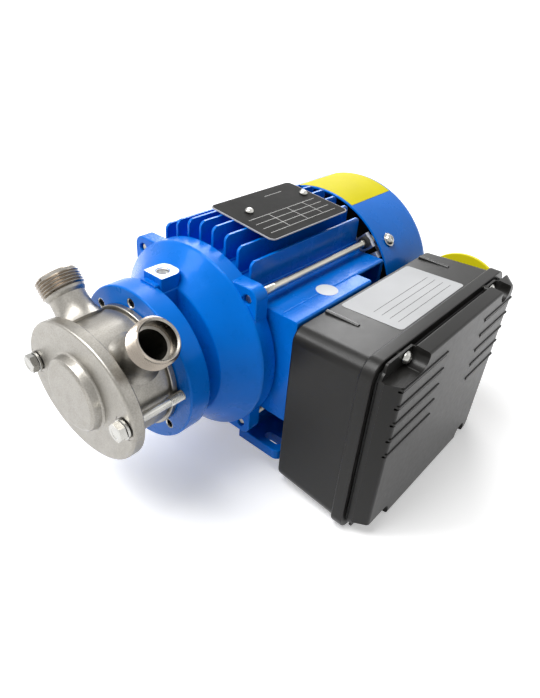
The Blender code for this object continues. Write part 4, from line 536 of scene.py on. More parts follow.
def grain(material, shader, patterns):
    """Bumps from one or more patterns, each with its strength and its depth in millimetres."""
    normal = None
    for pattern, strength, depth in patterns:
        bump = material.node_tree.nodes.new("ShaderNodeBump")
        bump.inputs["Strength"].default_value = strength
        bump.inputs["Distance"].default_value = depth * MM
        material.node_tree.links.new(pattern, bump.inputs["Height"])
        if normal:
            material.node_tree.links.new(normal, bump.inputs["Normal"])
        normal = bump.outputs["Normal"]
    material.node_tree.links.new(normal, shader.inputs["Normal"])


def shade(base, factor):
    return tuple(min(1.0, value * factor) for value in base)


def make_blue_paint(name, base, peel, peel_depth, roughness):
    """Gloss paint with a slight orange peel and a clear coat."""
    material, shader = new_material(name, base, roughness)
    shader.inputs["Specular IOR Level"].default_value = 0.35
    shader.inputs["Specular Tint"].default_value = (0.06, 0.3, 1.0, 1)
    shader.inputs["Coat Weight"].default_value = 0.06
    shader.inputs["Coat Roughness"].default_value = 0.06
    broad = noise(material, 22, 3)
    tint(material, shader, broad, shade(base, 0.88), shade(base, 1.1))
    polish(material, shader, noise(material, 90, 3), roughness - 0.05, roughness + 0.07)
    grain(material, shader, [(noise(material, peel, 2), 0.35, peel_depth),
                             (noise(material, 1400, 3), 0.12, 0.02)])


def make_metal(name, base, roughness, spread, marks, direction=(1, 1, 1), pit=0.0):
    """Metal with drifting tone and polish, fine marks and cast pits where asked."""
    material, shader = new_material(name, base, roughness, 1.0)
    speckle = noise(material, 1100, 6) if pit else noise(material, 45, 5)
    tint(material, shader, speckle, shade(base, 0.85), shade(base, 1.12))
    polish(material, shader, noise(material, 160, 4), roughness - spread, roughness + spread)
    patterns = [(noise(material, marks, 4, direction), 0.3, 0.008)]
    if pit:
        patterns.append((noise(material, 620, 3), 0.45, pit))
        patterns.append((noise(material, 110, 2), 0.35, pit * 2.5))
    grain(material, shader, patterns)


def make_plastic(name, base, roughness, texture, depth, sheen=0.3):
    """Moulded plastic with a fine spark-eroded grain."""
    material, shader = new_material(name, base, roughness)
    shader.inputs["Specular IOR Level"].default_value = sheen
    tint(material, shader, noise(material, 18, 4), shade(base, 0.93), shade(base, 1.1))
    polish(material, shader, noise(material, 240, 4), roughness - 0.02, roughness + 0.03)
    grain(material, shader, [(noise(material, texture, 3), 0.35, depth)])


def make_banded(name, base, roughness, metallic, pattern_scale, direction, distortion, depth):
    """Stacked sheets or wound wire, as bands that also stand proud."""
    material, shader = new_material(name, base, roughness, metallic)
    bands = stripes(material, pattern_scale, direction, distortion)
    tint(material, shader, bands, shade(base, 0.7), shade(base, 1.15), 0.1, 0.9)
    grain(material, shader, [(bands, 0.6, depth)])


def make_materials(finishes):
    blue = tuple(finishes.blue)
    make_blue_paint("blue_paint", blue, 260, 0.05, 0.24)
    make_blue_paint("blue_casting", blue, 420, 0.09, 0.29)
    make_metal("stainless_casting", tuple(finishes.stainless), 0.37, 0.07, 2200, pit=0.09)
    make_metal("machined_stainless", tuple(finishes.machined), 0.27, 0.06, 1600, (1, 1, 1))
    make_metal("bright_steel", tuple(finishes.bright), 0.26, 0.06, 900)
    make_metal("zinc_plate", tuple(finishes.zinc), 0.33, 0.02, 900, (0.1, 1, 1))
    make_metal("silver_casting", tuple(finishes.casting), 0.48, 0.08, 1500, pit=0.06)
    make_metal("machined_pad", (0.66, 0.66, 0.66), 0.34, 0.07, 800, (1, 0.08, 1))
    make_plastic("black_plastic", tuple(finishes.black_plastic), 0.31, 2600, 0.02, 0.24)
    make_plastic("smooth_black_plastic", tuple(finishes.black_plastic), 0.27, 1400, 0.008, 0.5)
    make_plastic("grey_plastic", (0.33, 0.34, 0.35), 0.5, 1800, 0.02)
    make_plastic("dial_yellow", tuple(finishes.yellow), 0.38, 900, 0.01)
    make_plastic("knob_red", tuple(finishes.red), 0.36, 900, 0.01)
    make_plastic("sticker_yellow", shade(tuple(finishes.yellow), 0.74), 0.6, 500, 0.01, 0.12)
    make_plastic("sticker_white", (0.66, 0.68, 0.70), 0.6, 700, 0.01, 0.15)
    make_plastic("black_rubber", (0.018, 0.018, 0.018), 0.7, 1600, 0.03, 0.3)
    make_plastic("ceramic", (0.78, 0.76, 0.70), 0.3, 900, 0.006)
    make_plastic("carbon", (0.035, 0.035, 0.036), 0.35, 1200, 0.01)
    make_plastic("black_plate", (0.008, 0.0078, 0.0072), 0.6, 900, 0.004, 0.06)
    make_plastic("label_silver", (0.46, 0.465, 0.47), 0.55, 700, 0.01, 0.15)
    make_plastic("label_line", (0.05, 0.05, 0.05), 0.5, 900, 0.005)
    make_plastic("plate_line", (0.62, 0.62, 0.60), 0.4, 900, 0.005)
    make_metal("brass", (0.72, 0.50, 0.20), 0.3, 0.06, 1200)
    make_banded("copper", (0.70, 0.28, 0.11), 0.35, 1.0, 380, "Y", 4.0, 0.25)
    make_banded("lamination", (0.24, 0.25, 0.26), 0.5, 0.9, 320, "X", 0.0, 0.05)


class AddStudio(bpy.types.Operator):
    """Add the pale floor, the soft light and the camera"""
    bl_idname = "pump.studio"
    bl_label = "Studio"

    def execute(self, context):
        settings = context.scene.pump_studio
        scene = context.scene
        rest()
        bpy.ops.mesh.primitive_plane_add(size=40)
        floor = bpy.context.object
        floor.name = "studio_floor"
        material = bpy.data.materials.new("studio_floor")
        material.use_nodes = True
        nodes = material.node_tree.nodes
        links = material.node_tree.links
        shader = nodes["Principled BSDF"]
        shader.inputs["Base Color"].default_value = (*settings.floor, 1)
        shader.inputs["Roughness"].default_value = 0.9
        shader.inputs["Specular IOR Level"].default_value = 0.1
        shader.inputs["Emission Color"].default_value = (1, 1, 1, 1)
        seen = self.seen_by_camera(material)
        spot = nodes.new("ShaderNodeTexCoord")
        reach = nodes.new("ShaderNodeVectorMath")
        reach.operation = "LENGTH"
        links.new(spot.outputs["Object"], reach.inputs[0])
        level = nodes.new("ShaderNodeMapRange")
        level.inputs["From Min"].default_value = GLOW_NEAR
        level.inputs["From Max"].default_value = GLOW_FAR
        level.inputs["To Min"].default_value = 0.42
        level.inputs["To Max"].default_value = 1.0
        links.new(reach.outputs["Value"], level.inputs["Value"])
        glow = nodes.new("ShaderNodeMath")
        glow.operation = "MULTIPLY"
        links.new(seen, glow.inputs[0])
        links.new(level.outputs["Result"], glow.inputs[1])
        links.new(glow.outputs[0], shader.inputs["Emission Strength"])
        floor.data.materials.append(material)
        self.add_world(scene, settings)
        self.add_lamp("key_lamp", settings.key, 0.9, (-0.6, 0.3, 1.6))
        self.add_lamp("fill_lamp", settings.fill, 1.1, (0.9, -1.1, 0.9))
        self.add_lamp("left_window_lamp", settings.window, 0.45, (-0.95, 0.85, 1.1))
        self.add_lamp("right_window_lamp", settings.window * 1.5, 0.8, (1.05, 0.85, 0.95))
        self.add_camera(scene)
        scene.view_settings.view_transform = "Standard"
        return {"FINISHED"}

    @staticmethod
    def seen_by_camera(owner):
        """1 for rays from the camera, for reflections and for what is seen through glass."""
        tree = owner.node_tree
        path = tree.nodes.new("ShaderNodeLightPath")
        first = tree.nodes.new("ShaderNodeMath")
        first.operation = "MAXIMUM"
        second = tree.nodes.new("ShaderNodeMath")
        second.operation = "MAXIMUM"
        tree.links.new(path.outputs["Is Camera Ray"], first.inputs[0])
        tree.links.new(path.outputs["Is Glossy Ray"], first.inputs[1])
        tree.links.new(first.outputs[0], second.inputs[0])
        tree.links.new(path.outputs["Is Transmission Ray"], second.inputs[1])
        return second.outputs[0]

    def add_world(self, scene, settings):
        world = bpy.data.worlds.new("studio")
        world.use_nodes = True
        scene.world = world
        background = world.node_tree.nodes["Background"]
        background.inputs["Color"].default_value = (1, 1, 1, 1)
        strength = world.node_tree.nodes.new("ShaderNodeMapRange")
        strength.inputs["To Min"].default_value = settings.sky
        strength.inputs["To Max"].default_value = 1.0
        world.node_tree.links.new(self.seen_by_camera(world), strength.inputs["Value"])
        world.node_tree.links.new(strength.outputs["Result"], background.inputs["Strength"])

    @staticmethod
    def add_lamp(name, power, size, location):
        rest()
        bpy.ops.object.light_add(type="AREA", location=location)
        lamp = bpy.context.object
        lamp.name = name
        lamp.data.energy = power
        lamp.data.size = size
        aim = Vector(LAMP_AIM) - Vector(location)
        lamp.rotation_euler = aim.to_track_quat("-Z", "Y").to_euler()

    @staticmethod
    def add_camera(scene):
        rest()
        bpy.ops.object.camera_add(location=ORIGIN + Vector(CAMERA_PLACE) * MM)
        camera = bpy.context.object
        camera.name = "photo_camera"
        forward = Vector(CAMERA_FORWARD).normalized()
        right = Vector(CAMERA_RIGHT)
        right = (right - forward * right.dot(forward)).normalized()
        up = right.cross(forward)
        camera.rotation_euler = Matrix((right, up, -forward)).transposed().to_euler()
        camera.data.sensor_width = 36.0
        camera.data.lens = CAMERA_LENS
        camera.data.clip_start = 0.01
        camera.data.clip_end = 50.0
        scene.camera = camera


class AddFrontCover(bpy.types.Operator):
    """Add the cast front cover with its round boss"""
    bl_idname = "pump.front_cover"
    bl_label = "Front cover"

    def execute(self, context):
        sizes = context.scene.pump_head
        height = sizes.cover_half_height / MM
        front = COVER_BACK - sizes.cover_thickness / MM
        profile = [(COVER_BACK, height - 1.2), (-86.5, height - 0.5), (-87.1, height), (-89.0, height)]
        profile += [(along, radius) for along, radius in arc(front + 1.6, height - 1.6, 1.6, 90, 180, 5)]
        profile += [(front, height - 5), (front, 29)]
        cover = turned(profile, 128)
        place(cover, Matrix.Diagonal((1, sizes.cover_half_width / MM / height, 1, 1)))
        boss = sizes.boss_radius / MM
        top = front - sizes.boss_height / MM
        join(cover, turned([(front + 2, boss + 2.2), (front - 0.05, boss + 1.9), (front - 0.3, boss + 1.1),
                            (front - 0.8, boss + 0.6), (front - 1.8, boss + 0.3), (top + 1.6, boss - 0.3),
                            (top + 1.1, boss - 0.6), (top + 0.2, boss - 2.0), (top + 0.02, boss - 2.5),
                            (top, boss - 3.0)], 96))
        offset = sizes.bolt_offset / MM
        for side in (-1, 1):
            bolt_line = at(0, side * offset, 0) @ ALONG_SHAFT
            cut(cover, turned([(front - 1, 7.4), (front + 0.25, 7.4)], 48, bolt_line))
            cut(cover, turned([(front - 1, 3.3), (-86, 3.3)], 32, bolt_line))
        cut(cover, turned([(front + 1.2, 9.5), (-86, 9.5)], 48))
        smooth(cover, 24)
        dress(cover, "cover_casting", "stainless_casting",
              stands_for=["front_cover"])
        return {"FINISHED"}


class AddCoverBolts(bpy.types.Operator):
    """Add the two cover bolts with their washers"""
    bl_idname = "pump.cover_bolts"
    bl_label = "Cover bolts"

    def execute(self, context):
        offset = context.scene.pump_head.bolt_offset / MM
        head = turned([(-96.1, 5.77), (-100.1, 5.77)], 6)
        cut(head, turned([(-96.05, 5.3), (-96.5, 6.1), (-99.35, 6.1), (-100.1, 4.75), (-100.1, 3.2),
                          (-99.9, 3.0)], 48), "INTERSECT")
        soften(head, 0.12, 1, 25)
        shank = turned([(-96.4, 2.65), (-65.0, 2.65), (-64.6, 2.45), (-47.2, 2.45), (-46.4, 1.8)], 32)
        thread = helix(2.45, 3.0, 1.0, -64.8, -47.0, ALONG_SHAFT, 24)
        bolt = smooth(gather([head, shank, thread]), 30)
        washer = turned([(-95.8, 3.3), (-95.8, 5.8), (-95.6, 6.0), (-94.5, 6.0), (-94.3, 5.8),
                         (-94.3, 3.3)], 48, closed=True)
        smooth(washer, 30)
        for number, side in enumerate((-1, 1), 1):
            dress(twin(bolt, at(0, side * offset, 0) @ turn(0.35 * side)), f"bolt_{number}",
                  "bright_steel", stands_for=[f"cover_bolt_{number}"])
            dress(twin(washer, at(0, side * offset, 0)), f"washer_{number}",
                  "bright_steel", stands_for=[f"cover_washer_{number}"])
        discard(bolt, washer)
        return {"FINISHED"}


class AddPumpBody(bpy.types.Operator):
    """Add the pump body with its two threaded ports"""
    bl_idname = "pump.body"
    bl_label = "Pump body"

    def execute(self, context):
        sizes = context.scene.pump_head
        radius = sizes.body_radius / MM
        ring = sizes.ring_radius / MM
        profile = [(-86.0, radius - 0.6), (-85.4, radius)]
        profile += [(-84 + 2 * i, radius) for i in range(12)]
        profile += [(-60.6, radius), (-60.3, radius - 1), (-59.2, radius - 1), (-59.0, ring - 0.4),
                    (-58.6, ring), (-55.9, ring), (-55.5, ring - 0.4), (-55.5, 17), (-44.4, 17),
                    (-44.0, 16.6)]
        body = turned(profile, 128)
        mouth = sizes.port_length / MM
        tube = sizes.port_tube / MM
        bore = sizes.port_bore / MM
        crest = sizes.thread_crest / MM
        root = crest - 1.1
        outside = [(27, 13.2), (33.0, 13.2), (35.4, 14.9), (36.6, 14.0), (38.2, 12.9), (40.4, 11.9),
                   (43, 11.2), (46, tube + 0.1), (49, tube), (mouth - 14.2, tube), (mouth - 12.6, root - 0.2),
                   (mouth - 12, root), (mouth - 9, root), (mouth - 6, root), (mouth - 3, root),
                   (mouth - 0.7, root), (mouth, root - 0.5)]
        inside = [(21, bore), (mouth - 9.3, bore), (mouth - 9, 10.3), (mouth - 0.8, 10.3),
                  (mouth + 0.4, 11.3)]
        places = [at(PORT_STATION, 0, 0) @ turn(-side * sizes.port_angle) for side in (-1, 1)]
        for matrix in places:
            join(body, turned(outside, 96, matrix))
        for matrix in places:
            cut(body, turned(inside, 64, matrix))
        cut(body, turned([(-87, 27.6), (-62.3, 27.6)], 96))
        cut(body, turned([(-63, 13.9), (-45.5, 13.9), (-45.5, 9), (-43, 9)], 64))
        smooth(body, 28)
        dress(body, "body_casting", "stainless_casting",
              stands_for=["pump_body"])
        for name, matrix in zip(("near", "far"), places):
            thread = helix(root, crest, sizes.thread_pitch / MM, mouth - 12.2, mouth - 0.3, matrix, 64)
            smooth(thread, 30)
            rim = turned([(mouth - 0.72, root + 0.02), (mouth + 0.03, root - 0.5), (mouth + 0.03, 11.15),
                          (mouth - 0.85, 10.27), (mouth - 8.9, 10.27), (mouth - 8.9, 10.34),
                          (mouth - 0.9, 10.34)], 96, matrix, closed=True)
            smooth(rim, 30)
            dress(gather([thread, rim]), f"{name}_port_thread", "machined_stainless")
        return {"FINISHED"}


class AddEndBell(bpy.types.Operator):
    """Add the end bell with its lantern, pump flange and ears"""
    bl_idname = "pump.end_bell"
    bl_label = "End bell"

    def execute(self, context):
        sizes = context.scene.pump_motor
        nose = sizes.bell_nose / MM
        rim = sizes.bell_rim / MM
        reach = sizes.ear_reach / MM
        bell = turned([(-29, 10), (-29, nose - 1.4), (-28.6, nose - 0.5), (-27.8, nose + 0.2),
                       (-24, nose + 3.6), (-20, nose + 7.4), (-16, nose + 11.1), (-12.2, rim - 1.2),
                       (-11.6, rim - 0.5), (-10.7, rim), (-6, rim), (-0.8, rim), (-0.3, rim - 0.5),
                       (-0.3, 52.7), (4, 52.7), (4, 48.2), (-10.9, 48.2), (-24.5, 41.5), (-24.5, 22.8),
                       (-9, 22.8), (-9, 17.8), (-20.3, 17.8), (-20.3, 10)], 128, closed=True)
        ears = rounded_block((-9.9, -reach, -reach), (-0.35, reach, reach), 0, 7, 8)
        bevel(ears, lies(0, -9.9), 0.9, 3)
        cut(ears, turned([(-12, 50.5), (2, 50.5)], 128))
        join(bell, ears)
        disc = sizes.disc_radius / MM
        flange = turned([(-55.2, 17.3), (-55.2, disc - 0.9), (-54.9, disc - 0.3), (-54.3, disc),
                         (-41.7, disc), (-41.1, disc - 0.3), (-40.8, disc - 0.9), (-40.8, 17.3)],
                        128, closed=True)
        ribs = [rounded_block((-41.8, -9, 18.5), (-28, 9, nose - 0.6), 0, 1.2, 3),
                rounded_block((-41.8, -9, -nose + 2), (-28, 9, -18.5), 0, 1.2, 3)]
        pad = block((-39.5, -8.2, 38), (-23, 8.2, 53.5))
        bevel(pad, lambda edge: runs(2)(edge) and edge.verts[0].co.x > -30 * MM, 6, 8)
        bevel(pad, lambda edge: runs(2)(edge) and edge.verts[0].co.x < -38 * MM, 1.2, 3)
        bevel(pad, lies(2, 53.5), 0.5, 2)
        neck = rounded_block((-43, -6.4, 38), (-36, 6.4, 49.9), 0, 1.5, 3)
        for shape in (flange, *ribs, pad, neck):
            join(bell, shape)
        for angle in around(8):
            cut(bell, turned([(-56, 3.5), (-55.1, 3.3), (-54.6, 2.75), (-44.2, 2.75)], 24,
                             on_circle(41, angle) @ ALONG_SHAFT))
        for y, z in corners(sizes.rod_offset / MM):
            cut(bell, turned([(-11, 3.5), (-9.8, 3.5), (-9.3, 3.0), (1, 3.0)], 24, at(0, y, z) @ ALONG_SHAFT))
        cut(bell, turned([(40.5, 3.6), (52.7, 3.6), (54, 4.6)], 32, at(TOP_HOLE_STATION, 0, 0)))
        smooth(bell, 26)
        dress(bell, "end_bell_casting", "blue_casting", stands_for=["end_bell"])
        face = block((-39.1, -7.8, 53.42), (-23.4, 7.8, 53.56))
        bevel(face, lambda edge: runs(2)(edge) and edge.verts[0].co.x > -30 * MM, 5.6, 8)
        bevel(face, lambda edge: runs(2)(edge) and edge.verts[0].co.x < -38 * MM, 0.8, 3)
        cut(face, turned([(50, 4.55), (55, 4.55)], 32, at(TOP_HOLE_STATION, 0, 0)))
        hole = turned([(40.6, 3.58), (53.0, 3.58), (53.52, 4.5), (53.5, 4.6), (52.9, 3.7), (40.6, 3.66)], 32,
                      at(TOP_HOLE_STATION, 0, 0), closed=True)
        ridge = helix(3.55, 3.1, 0.9, 42.0, 52.6, at(TOP_HOLE_STATION, 0, 0), 24)
        smooth(hole, 30)
        dress(gather([face, hole, ridge]), "top_pad_face", "machined_pad")
        sleeve = [(-55.1, 3.2), (-54.6, 2.72), (-45, 2.72), (-45, 2.5), (-54.6, 2.5), (-55.1, 2.95)]
        sleeves = [turned(sleeve, 24, on_circle(41, angle) @ ALONG_SHAFT, closed=True) for angle in around(8)]
        dress(smooth(gather(sleeves), 30), "disc_hole_walls", "bright_steel")
        return {"FINISHED"}


class AddMotorFrame(bpy.types.Operator):
    """Add the finned motor frame with its side pad and slotted feet"""
    bl_idname = "pump.motor_frame"
    bl_label = "Motor frame"

    def execute(self, context):
        sizes = context.scene.pump_motor
        radius = sizes.frame_radius / MM
        long = sizes.frame_length / MM
        barrel = turned([(0, radius - 4), (0, radius - 0.6), (0.6, radius), (long - 0.6, radius),
                         (long, radius - 0.6), (long, radius - 4)], 128, closed=True)
        pieces = [barrel] + self.fins(sizes, radius, long)
        pad = rounded_block((2, -62, -36), (long, -30, 38), 0, 1.6, 4, 0.6)
        shelf = rounded_block((2, -73.7, -36), (79.5, -61, 38), 0, 1.6, 4, 0.6)
        join(pad, shelf)
        cut(pad, turned([(-1, radius - 3), (long + 1, radius - 3)], 128))
        cut(pad, block((79.7, -64, -33), (long - 4, -50, 36.2)))
        cut(pad, turned([(50, 8), (75, 8)], 32, at(44, 0, 6) @ TOWARDS_BOX))
        pieces.append(pad)
        reach = sizes.foot_reach / MM
        for side in (-1, 1):
            foot = block((0.5, min(side * 36, side * reach), -71), (109, max(side * 36, side * reach), -63.5))
            bevel(foot, lambda edge: runs(2)(edge) and abs(edge.verts[0].co.y) > 60 * MM, 5, 6)
            bevel(foot, lies(2, -63.5), 0.9, 3)
            web = block((0.5, min(side * 36, side * 41), -66), (109, max(side * 36, side * 41), -36))
            cut(web, turned([(-1, radius - 3), (long + 1, radius - 3)], 96))
            bevel(web, lambda edge: runs(2)(edge) and edge.calc_length() > 10 * MM, 0.8, 2)
            fillet = block((0.9, min(side * 40.5, side * 45), -64),
                           (108.6, max(side * 40.5, side * 45), -59.5))
            cut(fillet, turned([(0, 4.4), (110, 4.4)], 32, at(0, side * 45.2, -59.3) @ ALONG_SHAFT))
            join(foot, web)
            for x in FOOT_SLOTS:
                slot = block((x - 3.5, side * FOOT_SLOT_Y - 7, -72), (x + 3.5, side * FOOT_SLOT_Y + 7, -62))
                bevel(slot, runs(2), 3.45, 10)
                cut(foot, slot)
            pieces += [foot, fillet]
        for x in PLATE_SCREWS:
            pieces.append(turned([(53.5, 4), (72.3, 4)], 24, at(x, PLATE_SCREW_Y, 0)))
        motor = smooth(gather(pieces), 30)
        dress(motor, "motor_casting", "blue_paint", stands_for=["motor_frame"])
        return {"FINISHED"}

    @staticmethod
    def fins(sizes, radius, long):
        """Fins that stand up on top and stick out on the far side, each with rounded outer corners."""
        pitch = sizes.fin_pitch / MM
        tip = sizes.fin_reach / MM
        half = sizes.fin_thickness / MM / 2
        made = []
        for i in range(8):
            offset = (i - 3.5) * pitch
            low = math.sqrt((radius - 1.5) ** 2 - offset ** 2)
            high = math.sqrt(tip ** 2 - offset ** 2) - FIN_DROOP * offset ** 2
            fin = block((2, offset - half, low), (long, offset + half, high))
            bevel(fin, lambda edge: runs(1)(edge) and edge.verts[0].co.z > (high - 1) * MM, 4, 6)
            bevel(fin, lambda edge: not runs(1)(edge) and edge.calc_length() > 0.4 * MM
                  and max(corner.co.z for corner in edge.verts) > (low + 1) * MM, 0.45, 2)
            root = block((1.5, offset - half - 1.1, low), (long - 0.5, offset + half + 1.1, low + 2.0))
            bevel(root, lambda edge: runs(0)(edge) and edge.verts[0].co.z > (low + 1) * MM, 1.0, 3)
            made += [fin, root]
            if i < 7:
                made += [twin(fin, turn(-math.pi / 2)), twin(root, turn(-math.pi / 2))]
        return made


class AddRearShield(bpy.types.Operator):
    """Add the bare cast rear shield with rounded edges"""
    bl_idname = "pump.rear_shield"
    bl_label = "Rear shield"

    def execute(self, context):
        shield = refined("rear_shield", 0.5)
        dress(shield, "rear_shield_casting", "silver_casting",
              stands_for=["rear_shield"], moved=False)
        return {"FINISHED"}


class AddTieRods(bpy.types.Operator):
    """Add the four tie rods with their grommets"""
    bl_idname = "pump.tie_rods"
    bl_label = "Tie rods"

    def execute(self, context):
        offset = context.scene.pump_motor.rod_offset / MM
        rod = turned([(-8.6, 1.6), (-8.3, 2.2), (12.6, 2.2), (13, 2.5), (24, 2.5), (24.6, 2.15),
                      (106.4, 2.15), (107, 2.5), (117.4, 2.5), (117.4, 4.3), (118.4, 4.3),
                      (118.6, 3.6), (121.8, 3.6), (122.4, 3.0)], 32)
        thread = helix(2.2, 2.55, 0.9, -8.2, 12.8, ALONG_SHAFT, 20)
        rod = smooth(gather([rod, thread]), 30)
        grommet = smooth(turned([(109.4, 2.55), (109.4, 3.7), (109.9, 4.3), (112.6, 4.3), (113.2, 3.8),
                                 (113.2, 2.55)], 32, closed=True), 30)
        for number, (y, z) in enumerate(corners(offset), 1):
            dress(twin(rod, at(0, y, z)), f"rod_{number}", "zinc_plate",
                  stands_for=[f"tie_rod_{number}"])
            dress(twin(grommet, at(0, y, z)), f"rod_grommet_{number}", "black_rubber")
        discard(rod, grommet)
        return {"FINISHED"}


class AddFanCowl(bpy.types.Operator):
    """Add the pressed fan cowl with its grille"""
    bl_idname = "pump.fan_cowl"
    bl_label = "Fan cowl"

    def execute(self, context):
        radius = context.scene.pump_motor.cowl_radius / MM
        inner = radius - 1.3
        profile = [(117.4, inner), (117.4, radius - 0.35), (117.75, radius), (130, radius), (150, radius)]
        profile += arc(169.5, radius - 8, 8, 90, 0, 8)
        profile += [(177.5, 40), (177.5, 9), (176.2, 9), (176.2, 40)]
        profile += arc(169.5, radius - 8, 6.7, 0, 90, 8)
        cowl = turned(profile, 128, closed=True)
        join(cowl, turned([(176.0, 9.5), (177.3, 9.5)], 64))
        slots = []
        for low, high, count in ((12, 28, 8), (36, 57, 16)):
            slot = block((174, -2.2, low - 2.2), (179, 2.2, high + 2.2))
            bevel(slot, runs(0), 2.15, 6)
            slots += [twin(slot, turn(angle)) for angle in around(count)]
            discard(slot)
        cut(cowl, gather(slots))
        smooth(cowl, 30)
        dress(cowl, "cowl_pressing", "blue_paint", stands_for=["fan_cowl"])
        return {"FINISHED"}


def cross_recess(head, out, depth, matrix):
    """Cut a cross-shaped driver recess into a screw head."""
    for angle in (0, math.pi / 2):
        blade = block((-1.7, -0.38, out - depth), (1.7, 0.38, out + 1))
        resize_face(blade, lies(2, out - depth), (0.45, 0.8, 1), (0, 0, out - depth))
        cut(head, place(blade, matrix @ Matrix.Rotation(angle, 4, "Z")))
    return head


class AddCowlScrews(bpy.types.Operator):
    """Add the four pan head screws of the fan cowl"""
    bl_idname = "pump.cowl_screws"
    bl_label = "Cowl screws"

    def execute(self, context):
        seat = context.scene.pump_motor.cowl_radius / MM + 0.3
        screw = turned([(63, 1.9), (seat, 1.9), (seat, 4.8), (seat + 0.2, 5), (seat + 0.7, 5),
                        (seat + 0.9, 4.8), (seat + 0.9, 3.9), (seat + 1.6, 3.85), (seat + 2.4, 3.4),
                        (seat + 3.1, 2.5), (seat + 3.5, 1.4), (seat + 3.6, 0.5)], 32, UPRIGHT)
        cross_recess(screw, seat + 3.6, 1.5, UPRIGHT)
        smooth(screw, 30)
        for number, angle in enumerate(COWL_SCREW_ANGLES, 1):
            spot = at(COWL_SCREW_STATION, 0, 0) @ turn(-math.radians(angle))
            dress(twin(screw, spot), f"pan_screw_{number}", "bright_steel",
                  stands_for=[f"cowl_screw_{number}"])
        discard(screw)
        return {"FINISHED"}


class AddRatingPlate(bpy.types.Operator):
    """Add the bare rating plate with ruled lines and two screws"""
    bl_idname = "pump.rating_plate"
    bl_label = "Rating plate"

    def execute(self, context):
        sizes = context.scene.pump_motor
        long = sizes.plate_length / MM
        wide = sizes.plate_width / MM
        fin_top = math.sqrt((sizes.fin_reach / MM) ** 2 - SECOND_FIN_Y ** 2)
        height = fin_top - (SECOND_FIN_Y - PLATE_MIDDLE_Y) * math.tan(PLATE_ROLL) - 0.28
        tilt = at(0, PLATE_MIDDLE_Y, height) @ turn(PLATE_ROLL)
        across = (PLATE_SCREW_Y - PLATE_MIDDLE_Y) / math.cos(PLATE_ROLL)
        start = 19.5
        plate = rounded_block((start, -wide / 2, 0.3), (start + long, wide / 2, 1.1), 2, 3.5, 8)
        panel = rounded_block((start + 0.5, -wide / 2 + 0.5, 1.05),
                              (start + long - 0.5, wide / 2 - 0.5, 1.16), 2, 3.1, 8)
        for shape in (plate, panel):
            for x in PLATE_SCREWS:
                cut(shape, turned([(-1, 1.6), (3, 1.6)], 24, at(x, across, 0)))
            place(shape, tilt)
        smooth(plate, 30)
        dress(plate, "plate_blank", "label_silver", stands_for=["nameplate"])
        dress(panel, "plate_face", "black_plate")
        rules = []
        for y in (-19.5, -13.5, -7.5, -1.5):
            rules.append(block((start + 6, y - 0.13, 1.14), (start + long - 6, y + 0.13, 1.2)))
        for x in (start + 24, start + 42, start + 58):
            rules.append(block((x - 0.13, -19.5, 1.14), (x + 0.13, -1.5, 1.2)))
        rules.append(block((start + 42, 17.7, 1.14), (start + long - 18, 17.96, 1.2)))
        dress(place(gather(rules), tilt), "plate_rules", "plate_line")
        screw = turned([(-4, 1.2), (1.4, 1.2), (1.4, 2.75), (1.55, 2.9), (1.9, 2.9), (2.5, 2.6), (3.1, 2.0),
                        (3.4, 1.2), (3.5, 0.4)], 32, UPRIGHT)
        smooth(screw, 30)
        for number, x in enumerate(PLATE_SCREWS, 1):
            dress(twin(screw, tilt @ at(x, across, 0)), f"plate_screw_{number}", "bright_steel",
                  stands_for=[f"nameplate_screw_{number}"])
        discard(screw)
        return {"FINISHED"}


class AddBoxBase(bpy.types.Operator):
    """Add the drafted switch box with its front lip and ridges"""
    bl_idname = "pump.box_base"
    bl_label = "Switch box"

    def execute(self, context):
        sizes = context.scene.pump_box
        back = sizes.back / MM
        face = sizes.face / MM
        radius = sizes.corner / MM
        middle = ((BOX_LEFT + BOX_RIGHT) / 2, -face, (BOX_LOW + BOX_HIGH) / 2)
        wide = BOX_RIGHT - BOX_LEFT
        tall = BOX_HIGH - BOX_LOW
        base = block((BOX_LEFT, -face, BOX_LOW), (BOX_RIGHT, -back, BOX_HIGH))
        resize_face(base, lies(1, -face), ((wide + BOX_SPREAD) / wide, 1, (tall + BOX_SPREAD) / tall), middle)
        bevel(base, runs(1), radius, 10)
        bevel(base, lies(1, -back), 1.6, 3)
        lip = rounded_block((BOX_LEFT - 4.4, -face, BOX_LOW - 4.4),
                            (BOX_RIGHT + 4.4, -face + 8, BOX_HIGH + 4.4), 1, radius + 2, 10)
        bevel(lip, lies(1, -face + 8), 0.9, 3)
        bevel(lip, lies(1, -face), 0.7, 3)
        join(base, lip)
        hollow = rounded_block((BOX_LEFT + 2, -face - 1, BOX_LOW + 2),
                               (BOX_RIGHT - 2, -back - 3, BOX_HIGH - 2), 1, radius - 3, 6)
        cut(base, hollow)
        ridges = []
        for x in (26.5, 139.0):
            ridge = rounded_block((x - 1.5, -98.5, BOX_HIGH - 1.5), (x + 1.5, -76, BOX_HIGH + 2.0), 1, 1.2, 5)
            ridges.append(bevel(ridge, lies(2, BOX_HIGH + 2.0), 0.3, 2))
        dress(smooth(gather(ridges), 30), "box_ridges", "smooth_black_plastic")
        cut(base, turned([(150, 4.2), (165, 4.2)], 32, at(0, -SWITCH_OUT, SWITCH_HIGH) @ ALONG_SHAFT))
        cut(base, turned([(150, 10.3), (165, 10.3)], 32, at(0, -SWITCH_OUT, GLAND_HIGH) @ ALONG_SHAFT))
        smooth(base, 30)
        dress(base, "box_shell", "black_plastic", stands_for=["box_base"])
        return {"FINISHED"}


